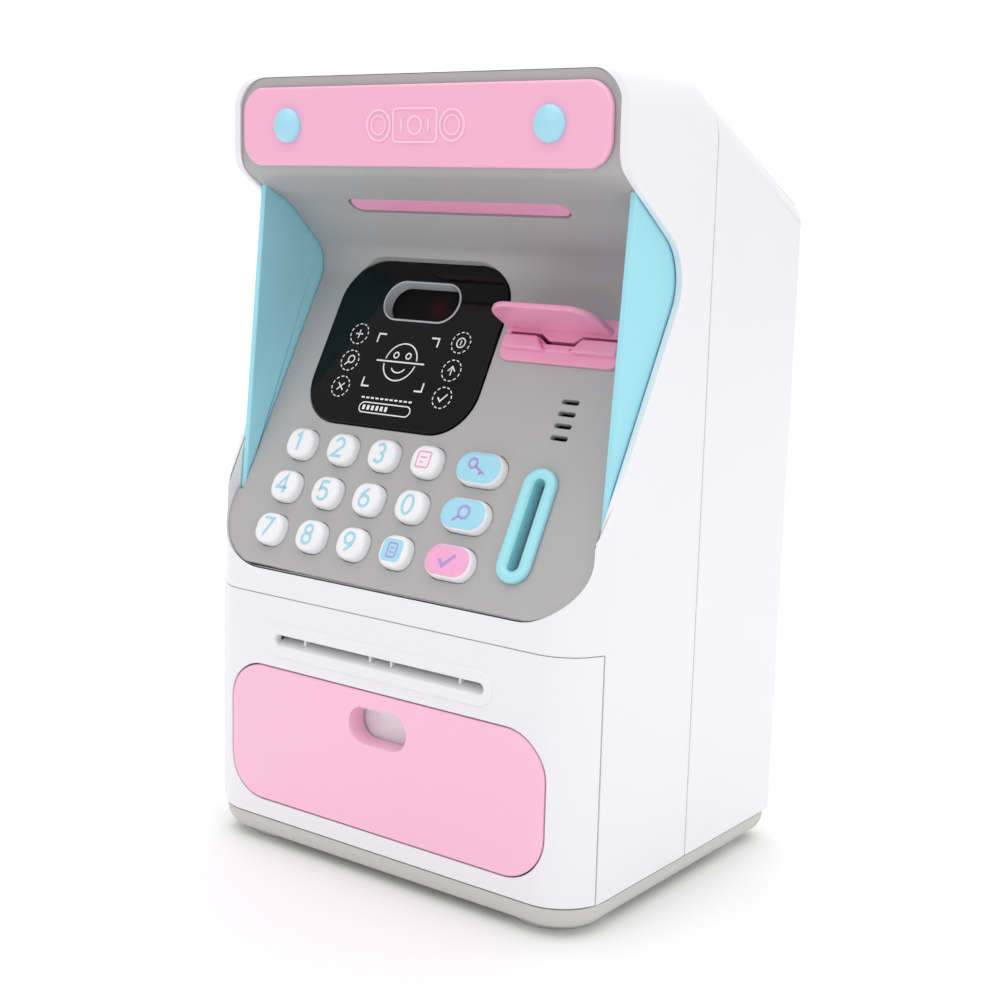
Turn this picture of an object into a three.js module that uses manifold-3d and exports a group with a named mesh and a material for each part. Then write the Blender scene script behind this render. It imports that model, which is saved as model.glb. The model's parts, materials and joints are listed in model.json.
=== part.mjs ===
// Toy cash machine savings bank, in millimetres.
// +Z is up, the front faces -Y, +X is the viewer's right, and the origin is under the middle.
import * as THREE from 'three';
import { mergeVertices } from 'three/addons/utils/BufferGeometryUtils.js';
import Module from 'manifold-3d';

const wasm = await Module();
wasm.setup();

// ---- Driving dimensions -------------------------------------------------------------------

const GAP = 0.3;                  // clearance between neighbouring pieces
const ARC_STEP = Math.PI / 7.9;   // largest turn of one facet on a rounded corner
const SMALL_RADIUS = 6;           // corners under this radius have fewer facets
const SMALL_ARC_STEP = Math.PI / 5.9;

// Case.
const HALF_WIDTH = 65;
const FRONT = -51.8;
const BACK = 52.3;
const TOP = 215.7;
const WALL = 2.2;
const TOP_WALL = 1.4;
const CASE_BOTTOM = 8.6;
const SEAM = 1.8;                 // the front and rear halves meet here
const FRONT_CORNER = 14;
const REAR_CORNER = 3.5;
const TOP_CORNER = 9.5;
const CHAMFER_START = [-5, TOP];  // (y, z) where the top turns down towards the back
const CHAMFER_END = [BACK, 187.4];

// Sloping front panel: s runs up the slope from its foot, h stands out of it.
const SLOPE = THREE.MathUtils.degToRad(28.6);
const FOOT_Z = 81;
const RIM = 3.7;                  // the case stands this far out of the panel
const PANEL = 2.2;
const PANEL_HALF = 60.4;
const PANEL_BEND = [-6.1, 165.3];
const CEILING_BEND = [-22.3, 180.4];
const HEADER_FACE = -39.5;
const HEADER_FOOT = 190;
const OPENING_CORNER = 20;

// Header.
const HEADER_Z = [190.7, 211.5];
const STUD_X = 43.2;
const STUD_RADIUS = 4.6;
const STUD_RISE = 1.4;

// Wings beside the panel.
const WING_FRONT = [[-40.3, 100.1], [-32.2, 186.4]];
const WING_X = [60.7, 62.5];

// Panel fittings, as (x, s).
const DISPLAY = { x: -19.3, s: 70.1, width: 59.6, height: 50.2, corner: 13 };
const WINDOW = { x: -19.1, s: 83.2, width: 29, height: 14.2 };
const KEY_COLUMNS = [-43.3, -28, -13, 2.1];
const OVAL_COLUMN = 20.2;
const KEY_ROWS = [37.05, 24.15, 11.25];
const KEY_SIZE = [9.8, 9.2, 3.9];
const OVAL_SIZE = [15.2, 9.3, 4.6];
const KEY_RISE = 3;
const KEY_NAMES = [
  ['key_1', 'key_2', 'key_3', 'key_card', 'key_pass'],
  ['key_4', 'key_5', 'key_6', 'key_0', 'key_search'],
  ['key_7', 'key_8', 'key_9', 'key_menu', 'key_accept'],
];
const COIN_SLOT = { x: 39.4, s: 24, width: 10, height: 31, slot: [3.4, 25] };
const SPEAKER = { x: 39.8, s: 53.1, radius: 13, slot: [5.3, 1.3], pitch: 3.35 };
const READER = { x: 32, half: 19, low: 68.3, high: 82, thickness: 1.2, slotAt: 76.5 };
const READER_LIP = { low: 71.4, high: 75.5, notch: 73.4, rise: 2.6 };
const HOOD = { from: 12.8, to: 46.6, low: 77.6, thickness: 1.6, reach: 14.5, corner: 7.5 };
const LAMP = { centre: [-22.6, 180.9], slope: 36, length: 74, width: 6.2 };

// Door, drawer and base.
const DOOR_TOP = 73.6;
const DOOR_EDGE = -41.7;          // rear edge of the door's wrapped sides
const DOOR_GAP = 0.7;
const HINGE = [-62.6, -43.4];
const KNUCKLE = 2.4;
const DRAWER = { half: 54.5, low: 14.2, high: 53.1, corner: 12 };
const NOTE_Z = 61.6;
const NOTE_X = -1;
const NOTE_SLOT = [72.4, 2.7];
const NOTE_FRAME = [78.4, 9.5, 0.5];
const TRAY = { half: 49.2, front: -45, back: -4, low: 16.4, high: 50, wall: 1.6 };
const BASE_TAPER = 4.4;
const BASE_FLOOR = 2.2;
const FOOT_AT = [47.5, 33.5];
const FOOT_RADIUS = 9.5;
const CATCH = [54, -37];          // latch bolt, seen from above

// Note feeder.
const DRIVE = { at: [-37, 67], radius: 5 };
const IDLER = { at: [-37, 57.4], radius: 4 };
const MODULE = 0.6;
const WHEEL_TEETH = 36;
const PINION_TEETH = 12;
const FEEDER_HALF = 43;
const GEAR_X = [-49, -46];

// Batteries.
const CELL = { radius: 7.1, length: 50, y: 41.4, pitch: 14.9 };
const BATTERY_Z = [97, 150];
const COVER = { half: 25.6, low: 91, high: 152 };
const COVER_SCREW = [0, COVER.low + 2.6];

// ---- Tools --------------------------------------------------------------------------------

const X = new THREE.Vector3(1, 0, 0);
const Y = new THREE.Vector3(0, 1, 0);
const Z = new THREE.Vector3(0, 0, 1);

function frameOf(across, up, origin = [0, 0, 0]) {
  const out = new THREE.Vector3().crossVectors(across, up);
  return new THREE.Matrix4().makeBasis(across, up, out).setPosition(...origin);
}

const sin = Math.sin(SLOPE);
const cos = Math.cos(SLOPE);
const CHAMFER_ANGLE = Math.atan2(CHAMFER_START[1] - CHAMFER_END[1], CHAMFER_END[0] - CHAMFER_START[0]);
const LAMP_ANGLE = THREE.MathUtils.degToRad(LAMP.slope);

const PLAN = frameOf(X, Y);                       // (x, y), out = +Z
const SIDE = frameOf(Y, Z);                       // (y, z), out = +X
const FACE = frameOf(X, Z);                       // (x, z), out = -Y
const PANEL_FRAME = frameOf(X, new THREE.Vector3(0, sin, cos), [0, FRONT, FOOT_Z]);
const CHAMFER_FRAME = frameOf(
  X, new THREE.Vector3(0, Math.sin(CHAMFER_ANGLE), Math.cos(CHAMFER_ANGLE)), [0, ...CHAMFER_START]);
const LAMP_FRAME = frameOf(
  X, new THREE.Vector3(0, -Math.cos(LAMP_ANGLE), Math.sin(LAMP_ANGLE)), [0, ...LAMP.centre]);

// Closed outline from corners given as [a, b, radius].
function outline(corners) {
  const points = [];
  corners.forEach(([a, b, radius = 0], i) => {
    const here = new THREE.Vector2(a, b);
    const last = corners[(i + corners.length - 1) % corners.length];
    const next = corners[(i + 1) % corners.length];
    const back = new THREE.Vector2(last[0], last[1]).sub(here).normalize();
    const on = new THREE.Vector2(next[0], next[1]).sub(here).normalize();
    const half = Math.acos(THREE.MathUtils.clamp(back.dot(on), -1, 1)) / 2;
    if (radius === 0 || half > 1.565) {
      points.push(here);
      return;
    }
    const centre = back.clone().add(on).normalize().multiplyScalar(radius / Math.sin(half)).add(here);
    const start = back.multiplyScalar(radius / Math.tan(half)).add(here).sub(centre);
    const end = on.multiplyScalar(radius / Math.tan(half)).add(here).sub(centre);
    const turn = Math.atan2(start.cross(end), start.dot(end));
    const step = radius < SMALL_RADIUS ? SMALL_ARC_STEP : ARC_STEP;
    const steps = Math.max(2, Math.ceil(Math.abs(turn) / step));
    for (let k = 0; k <= steps; k += 1) {
      points.push(start.clone().rotateAround(new THREE.Vector2(), turn * k / steps).add(centre));
    }
  });
  const apart = points.filter((point, i) => point.distanceTo(points.at(i - 1)) > 1e-3);
  return new THREE.Shape(apart);
}

function slab(x, y, width, height, radius = 0) {
  const a = width / 2;
  const b = height / 2;
  const corners = [[x - a, y - b], [x + a, y - b], [x + a, y + b], [x - a, y + b]];
  return outline(corners.map((corner) => [...corner, radius]));
}

function pill(x, y, width, height) {
  return slab(x, y, width, height, Math.min(width, height) / 2);
}

function disc(x, y, radius, sides = 20) {
  const points = [];
  for (let k = 0; k < sides; k += 1) {
    const angle = 2 * Math.PI * k / sides;
    points.push(new THREE.Vector2(x + radius * Math.cos(angle), y + radius * Math.sin(angle)));
  }
  return new THREE.Shape(points);
}

function solid(geometry) {
  geometry.deleteAttribute('normal');
  geometry.deleteAttribute('uv');
  const merged = mergeVertices(geometry, 1e-5);
  return new wasm.Manifold(new wasm.Mesh({
    numProp: 3,
    vertProperties: new Float32Array(merged.attributes.position.array),
    triVerts: new Uint32Array(merged.index.array),
  }));
}

// Prism of a shape in a frame, between two heights along the frame's out direction.
function prism(shape, from, to, frame = PLAN) {
  const geometry = new THREE.ExtrudeGeometry(shape, { depth: to - from, bevelEnabled: false });
  geometry.translate(0, 0, from);
  geometry.applyMatrix4(frame);
  return solid(geometry);
}

// As prism, with the far edge rounded over.
function cushion(shape, from, to, edge, frame = PLAN) {
  const geometry = new THREE.ExtrudeGeometry(shape, {
    depth: to - from, bevelThickness: edge, bevelSize: edge, bevelOffset: -edge, bevelSegments: 1,
  });
  geometry.translate(0, 0, from - edge);
  geometry.applyMatrix4(frame);
  return solid(geometry);
}

function box(x, y, z) {
  const geometry = new THREE.BoxGeometry(x[1] - x[0], y[1] - y[0], z[1] - z[0]);
  geometry.translate((x[0] + x[1]) / 2, (y[0] + y[1]) / 2, (z[0] + z[1]) / 2);
  return solid(geometry);
}

// Turned piece: [radius, height] along the frame's out direction, rising from axis to axis.
function turned(profile, at, frame, sides = 18) {
  const points = profile.map(([radius, height]) => new THREE.Vector2(radius, height));
  const geometry = new THREE.LatheGeometry(points, sides);
  geometry.rotateX(Math.PI / 2);
  geometry.translate(at[0], at[1], 0);
  geometry.applyMatrix4(frame);
  return solid(geometry);
}

function join(...bodies) {
  return bodies.reduce((sum, body) => sum.add(body));
}

function cut(body, ...tools) {
  return tools.reduce((rest, tool) => rest.subtract(tool), body);
}

function mirrored(sign, pair) {
  return sign > 0 ? pair : [-pair[1], -pair[0]];
}

const material = (color, roughness = 0.4, metalness = 0) =>
  new THREE.MeshStandardMaterial({ color, roughness, metalness });
const white = () => material(0xf2f2f4, 0.28);
const grey = () => material(0xb4b0af, 0.42);
const pink = () => material(0xf3a8cb, 0.32);
const sky = () => material(0xa8e4f0, 0.34);
const steel = () => material(0xb8bcc2, 0.25, 0.9);
const black = () => material(0x141416, 0.5);

const bank = new THREE.Group();

function piece(name, body, finish) {
  const { vertProperties, triVerts } = body.getMesh();
  const geometry = new THREE.BufferGeometry();
  geometry.setAttribute('position', new THREE.BufferAttribute(vertProperties, 3));
  geometry.setIndex(new THREE.BufferAttribute(triVerts, 1));
  geometry.computeVertexNormals();
  const mesh = new THREE.Mesh(geometry, finish);
  mesh.name = name;
  bank.add(mesh);
}

// A point of the sloping panel as (y, z).
function onPanel(s, h = 0) {
  return [FRONT + s * sin - h * cos, FOOT_Z + s * cos + h * sin];
}

// ---- Case halves and base -----------------------------------------------------------------

// Outside of the case moved in by inset, and its flat top by topInset.
function caseBlock(inset, topInset = inset) {
  const half = HALF_WIDTH - inset;
  const front = Math.max(FRONT_CORNER - inset, 0.5);
  const rear = Math.max(REAR_CORNER - inset, 0.5);
  const plan = outline([
    [-half, FRONT + inset, front], [half, FRONT + inset, front],
    [half, BACK - inset, rear], [-half, BACK - inset, rear],
  ]);
  const across = (low, high) => outline([
    [-half, low], [half, low], [half, high, TOP_CORNER - inset], [-half, high, TOP_CORNER - inset],
  ]);
  return prism(plan, -20, 260)
    .intersect(prism(across(-20, TOP - topInset), -120, 120, FACE))
    .intersect(prism(across(-260, -inset), -160, 160, CHAMFER_FRAME));
}

function caseOuter() {
  const rimFoot = FOOT_Z + RIM / sin;
  const side = outline([
    [FRONT, CASE_BOTTOM], [BACK, CASE_BOTTOM], [...CHAMFER_END, 6], [...CHAMFER_START, 20],
    [-42.9, TOP, 4], [-42.7, 192.2, 9], [-8.8, 167.9, 14], [FRONT, rimFoot, 3],
  ]);
  return caseBlock(0).intersect(prism(side, -80, 80, SIDE));
}

function caseCavity() {
  const rimFoot = FOOT_Z + RIM / sin - WALL / 2;
  const shelf = FOOT_Z + (OPENING_CORNER + 1) * cos;
  const side = outline([
    [FRONT + WALL, -10], [BACK - WALL, -10], [BACK - WALL, 240], [-70, 240], [-70, shelf],
    [FRONT + WALL + (shelf - rimFoot) * Math.tan(SLOPE), shelf], [FRONT + WALL, rimFoot],
  ]);
  const opening = slab(0, 40, 2 * (HALF_WIDTH - WALL), 80, OPENING_CORNER);
  return caseBlock(WALL, TOP_WALL).intersect(prism(side, -80, 80, SIDE))
    .add(prism(opening, -4, 40, PANEL_FRAME).intersect(box([-80, 80], [-90, 0], [60, 150])));
}

const bossSites = [];
for (const sign of [-1, 1]) {
  bossSites.push({ x: sign * 59.4, z: 84, front: -14 }, { x: sign * 59.4, z: 180, front: -8 });
}
const BOSS = 3.75;
const SCREW_SEAT = 10;

const caseShell = cut(caseOuter(), caseCavity());

function frontShell() {
  let body = caseShell.intersect(box([-90, 90], [-90, SEAM - GAP / 2], [0, 240]));
  body = cut(body, box([-90, 90], [-90, DOOR_EDGE + DOOR_GAP], [0, DOOR_TOP + 0.4]));
  body = cut(body, box([-90, -50], [-60, HINGE[1] + KNUCKLE + GAP], [0, DOOR_TOP + 0.4]));
  const lug = box([HINGE[0] - 1.6, -56], [-48, -40], [DOOR_TOP + 0.4, DOOR_TOP + 5]);
  body = body.add(lug.intersect(caseBlock(WALL / 2)));
  for (const { x, z, front } of bossSites) {
    body = body.add(prism(disc(x, z, BOSS), -(SEAM - GAP / 2), -front, FACE));
  }
  for (const { x, z, front } of bossSites) {
    body = cut(body, prism(disc(x, z, 1.4, 12), -10, -front - 2, FACE));
  }
  return cut(body, prism(disc(...HINGE, 1.2, 16), 60, DOOR_TOP + 4));
}


function rearShell() {
  let body = caseShell.intersect(box([-90, 90], [SEAM + GAP / 2, 90], [0, 240]));
  const inside = caseBlock(WALL / 2);
  for (const { x, z } of bossSites) {
    body = body.add(prism(disc(x, z, BOSS), -(BACK - 1), -(SEAM + GAP / 2), FACE).intersect(inside));
  }
  for (const { x, z } of bossSites) {
    body = cut(body, prism(disc(x, z, 1.6, 16), -20, 0, FACE));
    body = cut(body, prism(disc(x, z, 2.8, 16), -60, -SCREW_SEAT, FACE));
  }
  const middle = (COVER.low + COVER.high) / 2;
  return cut(body, prism(slab(0, middle, 2 * COVER.half, COVER.high - COVER.low, 3), -60, -45, FACE));
}

piece('front_shell', frontShell(), white());
piece('rear_shell', rearShell(), white());

bossSites.forEach(({ x, z }, i) => {
  const screw = [[0, -SCREW_SEAT - 2], [2.5, -SCREW_SEAT - 2], [2.5, -SCREW_SEAT - 0.3],
    [1.1, -SCREW_SEAT - 0.3], [1.1, 5], [0, 5]];
  piece(`case_screw_${i + 1}`, turned(screw, [x, z], FACE, 16), steel());
});

function basePlan(inset) {
  const half = HALF_WIDTH - inset;
  return outline([
    [-half, FRONT + inset, FRONT_CORNER - inset], [half, FRONT + inset, FRONT_CORNER - inset],
    [half, BACK - inset, 6], [-half, BACK - inset, 6],
  ]);
}

function baseTray() {
  const rim = CASE_BOTTOM - GAP;
  const height = rim - BASE_FLOOR;
  const lip = 0.4;
  const geometry = new THREE.ExtrudeGeometry(basePlan(BASE_TAPER + lip), {
    depth: 4, bevelThickness: height, bevelSize: BASE_TAPER, bevelSegments: 5,
  });
  geometry.translate(0, 0, rim);
  let body = solid(geometry).intersect(box([-90, 90], [-90, 90], [BASE_FLOOR, rim]));
  body = cut(body, prism(basePlan(7), BASE_FLOOR + 2.5, 20));
  for (const x of [-FOOT_AT[0], FOOT_AT[0]]) {
    for (const y of [-FOOT_AT[1], FOOT_AT[1]]) {
      body = cut(body, prism(disc(x, y, FOOT_RADIUS + GAP), 0, BASE_FLOOR + 0.8));
    }
  }
  return cut(body, prism(disc(...HINGE, 1.2, 16), 5, 20));
}

piece('base_tray', baseTray(), grey());

const FOOT_CORNERS = { front_left: [-1, -1], front_right: [1, -1], rear_left: [-1, 1], rear_right: [1, 1] };
for (const [corner, [sx, sy]] of Object.entries(FOOT_CORNERS)) {
  const pad = [[0, 0], [FOOT_RADIUS - 0.8, 0], [FOOT_RADIUS, 0.8], [FOOT_RADIUS, BASE_FLOOR + 0.5],
    [0, BASE_FLOOR + 0.5]];
  piece(`foot_${corner}`, turned(pad, [sx * FOOT_AT[0], sy * FOOT_AT[1]], PLAN), material(0x8f8c88, 0.8));
}

// ---- Front panel, header and wings --------------------------------------------------------

// Side view of the panel's visible surface, moved back by depth.
function panelSurface(depth) {
  const [footY, footZ] = onPanel(0, -depth);
  const rise = footZ - FOOT_Z;
  return [
    [footY + (0 - rise) * Math.tan(SLOPE), FOOT_Z],
    [PANEL_BEND[0] + depth * 1.28, PANEL_BEND[1] + depth * 0.05, 9 + depth],
    [CEILING_BEND[0] + depth * 0.6, CEILING_BEND[1] + depth * 0.84, 30],
    [HEADER_FACE + depth, HEADER_FOOT + depth * 0.65, Math.max(7 - depth, 1)],
    [HEADER_FACE + depth, TOP - TOP_WALL - GAP],
  ];
}

function panelHole(shape, deep = -6, high = 12) {
  return prism(shape, deep, high, PANEL_FRAME);
}

const everyKey = [];
KEY_NAMES.forEach((row, r) => row.forEach((name, c) => {
  const oval = c === KEY_COLUMNS.length;
  everyKey.push({
    name,
    x: oval ? OVAL_COLUMN : KEY_COLUMNS[c],
    s: KEY_ROWS[r],
    size: oval ? OVAL_SIZE : KEY_SIZE,
  });
}));

const keyShape = ({ x, s, size: [width, height, corner] }, grow) =>
  slab(x, s, width + 2 * grow, height + 2 * grow, Math.max(corner + grow, 0.5));

const displayShape = (grow) => slab(
  DISPLAY.x, DISPLAY.s, DISPLAY.width + 2 * grow, DISPLAY.height + 2 * grow, DISPLAY.corner + grow);

function fasciaPanel() {
  const skin = outline([...panelSurface(0), ...panelSurface(PANEL).reverse()]);
  const corner = OPENING_CORNER - (HALF_WIDTH - WALL - PANEL_HALF);
  const trim = slab(0, 60 + GAP, 2 * PANEL_HALF, 120, corner);
  const lower = prism(skin, -PANEL_HALF, PANEL_HALF, SIDE)
    .intersect(prism(trim, -30, 80, PANEL_FRAME).add(box([-80, 80], [-70, 20], [150, 240])));
  const headHalf = HALF_WIDTH - WALL - 2 * GAP;
  const headSkin = prism(skin, -headHalf, headHalf, SIDE);
  const headTrim = slab(0, TOP - TOP_WALL - GAP - 40, 2 * headHalf, 80, TOP_CORNER - WALL);
  const header = headSkin.intersect(prism(headTrim, -10, 80, FACE)).intersect(
    box([-80, 80], [-70, 20], [HEADER_FOOT - 1, 240]));
  let body = lower.intersect(box([-80, 80], [-70, 20], [0, HEADER_FOOT])).add(header);
  body = cut(body, panelHole(displayShape(GAP), -1.2));
  body = cut(body, panelHole(pill(WINDOW.x, WINDOW.s, WINDOW.width + 2, WINDOW.height + 2)));
  for (const key of everyKey) {
    body = cut(body, panelHole(keyShape(key, GAP)));
  }
  body = cut(body, panelHole(pill(COIN_SLOT.x, COIN_SLOT.s, COIN_SLOT.width - 2, COIN_SLOT.height - 2)));
  for (let k = -1.5; k <= 1.5; k += 1) {
    body = cut(body, panelHole(slab(SPEAKER.x, SPEAKER.s + k * SPEAKER.pitch, ...SPEAKER.slot, 0.6)));
  }
  body = cut(body, panelHole(slab(READER.x, READER.slotAt - 1, 2 * READER.half - 4, 9, 1.5)));
  return cut(body, prism(pill(0, 0, LAMP.length, LAMP.width), -8, 8, LAMP_FRAME));
}

piece('fascia_panel', fasciaPanel(), grey());

const headerMiddle = (HEADER_Z[0] + HEADER_Z[1]) / 2;
piece('header_plate', cushion(
  slab(0, headerMiddle, 2 * PANEL_HALF, HEADER_Z[1] - HEADER_Z[0], 7),
  -HEADER_FACE + GAP, -HEADER_FACE + 1.9, 0.5, FACE).intersect(
  box([-80, 80], [-60, HEADER_FACE - GAP], [0, 240])), pink());

const plateFace = -HEADER_FACE + 1.9;
const dome = [[0, plateFace + GAP], [STUD_RADIUS, plateFace + GAP], [STUD_RADIUS, plateFace + 1]];
for (let k = 1; k < 6; k += 1) {
  const angle = k * Math.PI / 12;
  dome.push([STUD_RADIUS * Math.cos(angle), plateFace + 1 + STUD_RISE * Math.sin(angle)]);
}
dome.push([0, plateFace + 1 + STUD_RISE]);
for (const [side, sign] of [['left', -1], ['right', 1]]) {
  piece(`header_stud_${side}`, turned(dome, [sign * STUD_X, headerMiddle + 0.2], FACE), sky());
}

function wing(sign) {
  const behind = 1.6;
  const foot = onPanel((WING_FRONT[0][1] - FOOT_Z) / cos, -behind);
  const side = outline([
    WING_FRONT[0], WING_FRONT[1],
    [CEILING_BEND[0] + 1, CEILING_BEND[1] + 1.6, 10],
    [PANEL_BEND[0] + behind, PANEL_BEND[1], 9], foot,
  ]);
  return prism(side, ...mirrored(sign, WING_X), SIDE);
}

piece('wing_left', wing(-1), sky());
piece('wing_right', wing(1), sky());

// Lamp lens in the ceiling over the keys, held by a flange behind the slot.
piece('ceiling_lamp_lens', join(
  prism(pill(0, 0, LAMP.length - 2 * GAP, LAMP.width - 2 * GAP), -6, -0.2, LAMP_FRAME),
  prism(pill(0, 0, LAMP.length + 4, LAMP.width + 4), -6, -4, LAMP_FRAME)), material(0xf3a0c4, 0.3));

// ---- Display, card reader, coin slot and speaker ------------------------------------------

piece('display_cover', cut(
  prism(displayShape(0), -0.9, 0.8, PANEL_FRAME),
  panelHole(pill(WINDOW.x, WINDOW.s, WINDOW.width - 3, WINDOW.height - 3))), material(0x0c0c0e, 0.08));

piece('face_sensor', join(
  prism(slab(WINDOW.x, WINDOW.s, WINDOW.width - 1, WINDOW.height - 1, 5), -5, -2.6, PANEL_FRAME),
  prism(disc(WINDOW.x + 5, WINDOW.s, 3.4), -5, -1.6, PANEL_FRAME)), black());

// Lips with a finger notch between them stand under the card slot, and a hood juts out over it.
function cardReader() {
  const { x, half, low, high, thickness, slotAt } = READER;
  const { low: foot, high: top, notch, rise } = READER_LIP;
  const left = x - half + 0.8;
  const right = x + half - 0.8;
  const plate = prism(slab(x, (low + high) / 2, 2 * half, high - low, 3), GAP, thickness, PANEL_FRAME);
  const leftLip = outline([[left, foot, 1], [x - 4, foot], [x - 7.6, top, 0.8], [left, top, 1.4]]);
  const rightLip = outline([[x + 3.5, foot], [right, foot, 1], [right, top, 1.4], [x + 6.7, top, 0.8]]);
  const lips = join(
    prism(leftLip, thickness / 2, rise, PANEL_FRAME),
    prism(rightLip, thickness / 2, rise, PANEL_FRAME),
    prism(slab(x, (foot + notch) / 2, 16, notch - foot), thickness / 2, 1.7, PANEL_FRAME));
  const overhang = outline([
    [HOOD.from, 0], [HOOD.to, 0], [HOOD.to, HOOD.reach, HOOD.corner], [HOOD.from, HOOD.reach, HOOD.corner],
  ]);
  const hoodFrame = frameOf(X, new THREE.Vector3(0, -cos, sin), [0, ...onPanel(HOOD.low)]);
  const hood = prism(overhang, -HOOD.thickness, 0, hoodFrame).intersect(
    prism(slab(x, slotAt, 80, 20), thickness / 2, 40, PANEL_FRAME));
  const guide = prism(slab(x, slotAt - 1, 2 * half - 5, 8.2, 1), -16, thickness - 0.2, PANEL_FRAME);
  const slotLow = [[-17, top], [-7.4, top], [-4.6, notch + 0.2], [4.2, notch + 0.2], [6.5, top], [17, top]];
  const slotHigh = [[17, slotAt], [6.1, slotAt], [3.7, notch + 1.2], [-4.1, notch + 1.2], [-7, slotAt],
    [-17, slotAt]];
  const slot = prism(outline([...slotLow, ...slotHigh].map(([a, s]) => [x + a, s])), -14, 8, PANEL_FRAME);
  return cut(join(plate, lips, hood, guide), slot);
}

piece('card_reader', cardReader(), material(0xeb8cb4, 0.32));

const coinPill = (shrink) =>
  pill(COIN_SLOT.x, COIN_SLOT.s, COIN_SLOT.width - 2 * shrink, COIN_SLOT.height - 2 * shrink);
piece('coin_slot_bezel', cut(join(
  cushion(coinPill(0), GAP, 2, 0.6, PANEL_FRAME).intersect(prism(coinPill(-1), GAP, 4, PANEL_FRAME)),
  prism(coinPill(1 + GAP), -2.8, 1, PANEL_FRAME)),
panelHole(slab(COIN_SLOT.x, COIN_SLOT.s, ...COIN_SLOT.slot, 1.2))), material(0x73cddc, 0.3));

// Flat channel that lets a coin roll down and back over the feeder and drop into the safe.
function coinChute() {
  const high = onPanel(COIN_SLOT.s + 14, -3.2);
  const low = onPanel(COIN_SLOT.s - 14, -3.2);
  const outer = outline([low, [-6, 68.5, 6], [-1, 65], [27, 65], [27, 84, 14], high]);
  const inLow = onPanel(COIN_SLOT.s - 12.6, -3);
  const inHigh = onPanel(COIN_SLOT.s + 12.6, -3);
  const inner = outline([inLow, [-5.2, 70, 6], [0.4, 66], [0.4, 60], [25.6, 60], [25.6, 83.4, 13], inHigh]);
  const x = COIN_SLOT.x;
  return cut(prism(outer, x - 3.7, x + 3.7, SIDE), prism(inner, x - 2.4, x + 2.4, SIDE));
}

piece('coin_chute', coinChute(), material(0xe4e4e2, 0.5));

piece('speaker', turned([
  [0, -9.8], [8, -9.8], [8, -7.6], [SPEAKER.radius, -4.4], [SPEAKER.radius, -2.6],
  [10.5, -2.6], [9.5, -3.4], [0, -3.4]], [SPEAKER.x, SPEAKER.s], PANEL_FRAME), black());

// ---- Keys, their mat and the circuit board -------------------------------------------------

const KEY_COLOURS = { key_pass: 0x9fdcf0, key_search: 0x9fdcf0, key_menu: 0x9fdcf0, key_accept: 0xf1a9cf };
for (const key of everyKey) {
  const cap = prism(keyShape(key, 0), -5, KEY_RISE, PANEL_FRAME);
  const flange = prism(keyShape(key, 0.7), -4, -PANEL - GAP, PANEL_FRAME);
  piece(key.name, join(cap, flange), material(KEY_COLOURS[key.name] ?? 0xf4f4f6, 0.35));
}

piece('key_mat', prism(slab(-10.5, KEY_ROWS[1], 82, 39, 3), -8, -6.8, PANEL_FRAME), material(0xd8d8d6, 0.8));
piece('circuit_board', prism(slab(-10.5, 35, 81, 64, 1), -10, -8.4, PANEL_FRAME), material(0x2e7d46, 0.5));

// ---- Door, its pins and the latch ----------------------------------------------------------

const noteSlot = prism(slab(NOTE_X, NOTE_Z, ...NOTE_SLOT, 1.2), 40, 60, FACE);

// Front skin of the case below the panel, between two depths behind the surface.
function frontSkin(from, to) {
  return caseBlock(from).subtract(caseBlock(to));
}

function doorPanel() {
  let body = frontSkin(0, WALL).intersect(
    box([-90, 90], [-90, DOOR_EDGE], [CASE_BOTTOM + 0.4, DOOR_TOP]));
  body = body.add(prism(disc(...HINGE, KNUCKLE), CASE_BOTTOM + 0.4, DOOR_TOP));
  const { half, low, high, corner } = DRAWER;
  const middle = (low + high) / 2;
  body = cut(body, prism(slab(0, middle, 2 * half + 0.9, high - low + 0.9, corner + 0.4), 40, 60, FACE));
  const [frameWidth, frameHeight, frameRise] = NOTE_FRAME;
  body = body.add(prism(pill(NOTE_X, NOTE_Z, frameWidth, frameHeight), -FRONT - 1, -FRONT + frameRise, FACE));
  for (const sign of [-1, 1]) {
    const rail = join(
      box(mirrored(sign, [50.6, 53.2]), [-47, -8], [13.6, 20]),
      box(mirrored(sign, [46, 53.2]), [-47, -8], [13.6, 15.6]),
      box(mirrored(sign, [50.6, 62]), [-47, -44], [13.6, 20]));
    body = body.add(rail.intersect(caseBlock(WALL / 2)));
  }
  body = body.add(box([CATCH[0] - 4.5, CATCH[0] + 4.5], [FRONT + 1.5, CATCH[1] + 4.5], [57.6, 60]));
  body = cut(body, prism(disc(...CATCH, 2.6, 16), 50, 70));
  body = cut(body, prism(disc(...HINGE, 1.2, 16), 0, 15), prism(disc(...HINGE, 1.2, 16), 69, 80));
  return cut(body, noteSlot);
}

piece('door_panel', doorPanel(), white());
piece('hinge_pin_upper', prism(disc(...HINGE, 1, 16), 69.5, DOOR_TOP + 3.6), steel());
piece('hinge_pin_lower', prism(disc(...HINGE, 1, 16), 5.4, 14.6), steel());

piece('latch_solenoid', cut(
  box([CATCH[0] - 5, 62.2], [CATCH[1] - 3.6, CATCH[1] + 5], [67, 86]),
  prism(disc(...CATCH, 2.3, 16), 60, 82)), steel());
piece('latch_bolt', prism(disc(...CATCH, 2, 16), 61, 76), steel());

// ---- Drawer --------------------------------------------------------------------------------

const drawerMiddle = (DRAWER.low + DRAWER.high) / 2;
const drawerShape = slab(0, drawerMiddle, 2 * DRAWER.half, DRAWER.high - DRAWER.low, DRAWER.corner);
piece('drawer_front', cut(
  frontSkin(0, WALL - GAP).intersect(prism(drawerShape, 40, 60, FACE)),
  prism(pill(0, 43.6, 20, 10.2), 40, 60, FACE)), pink());

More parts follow.
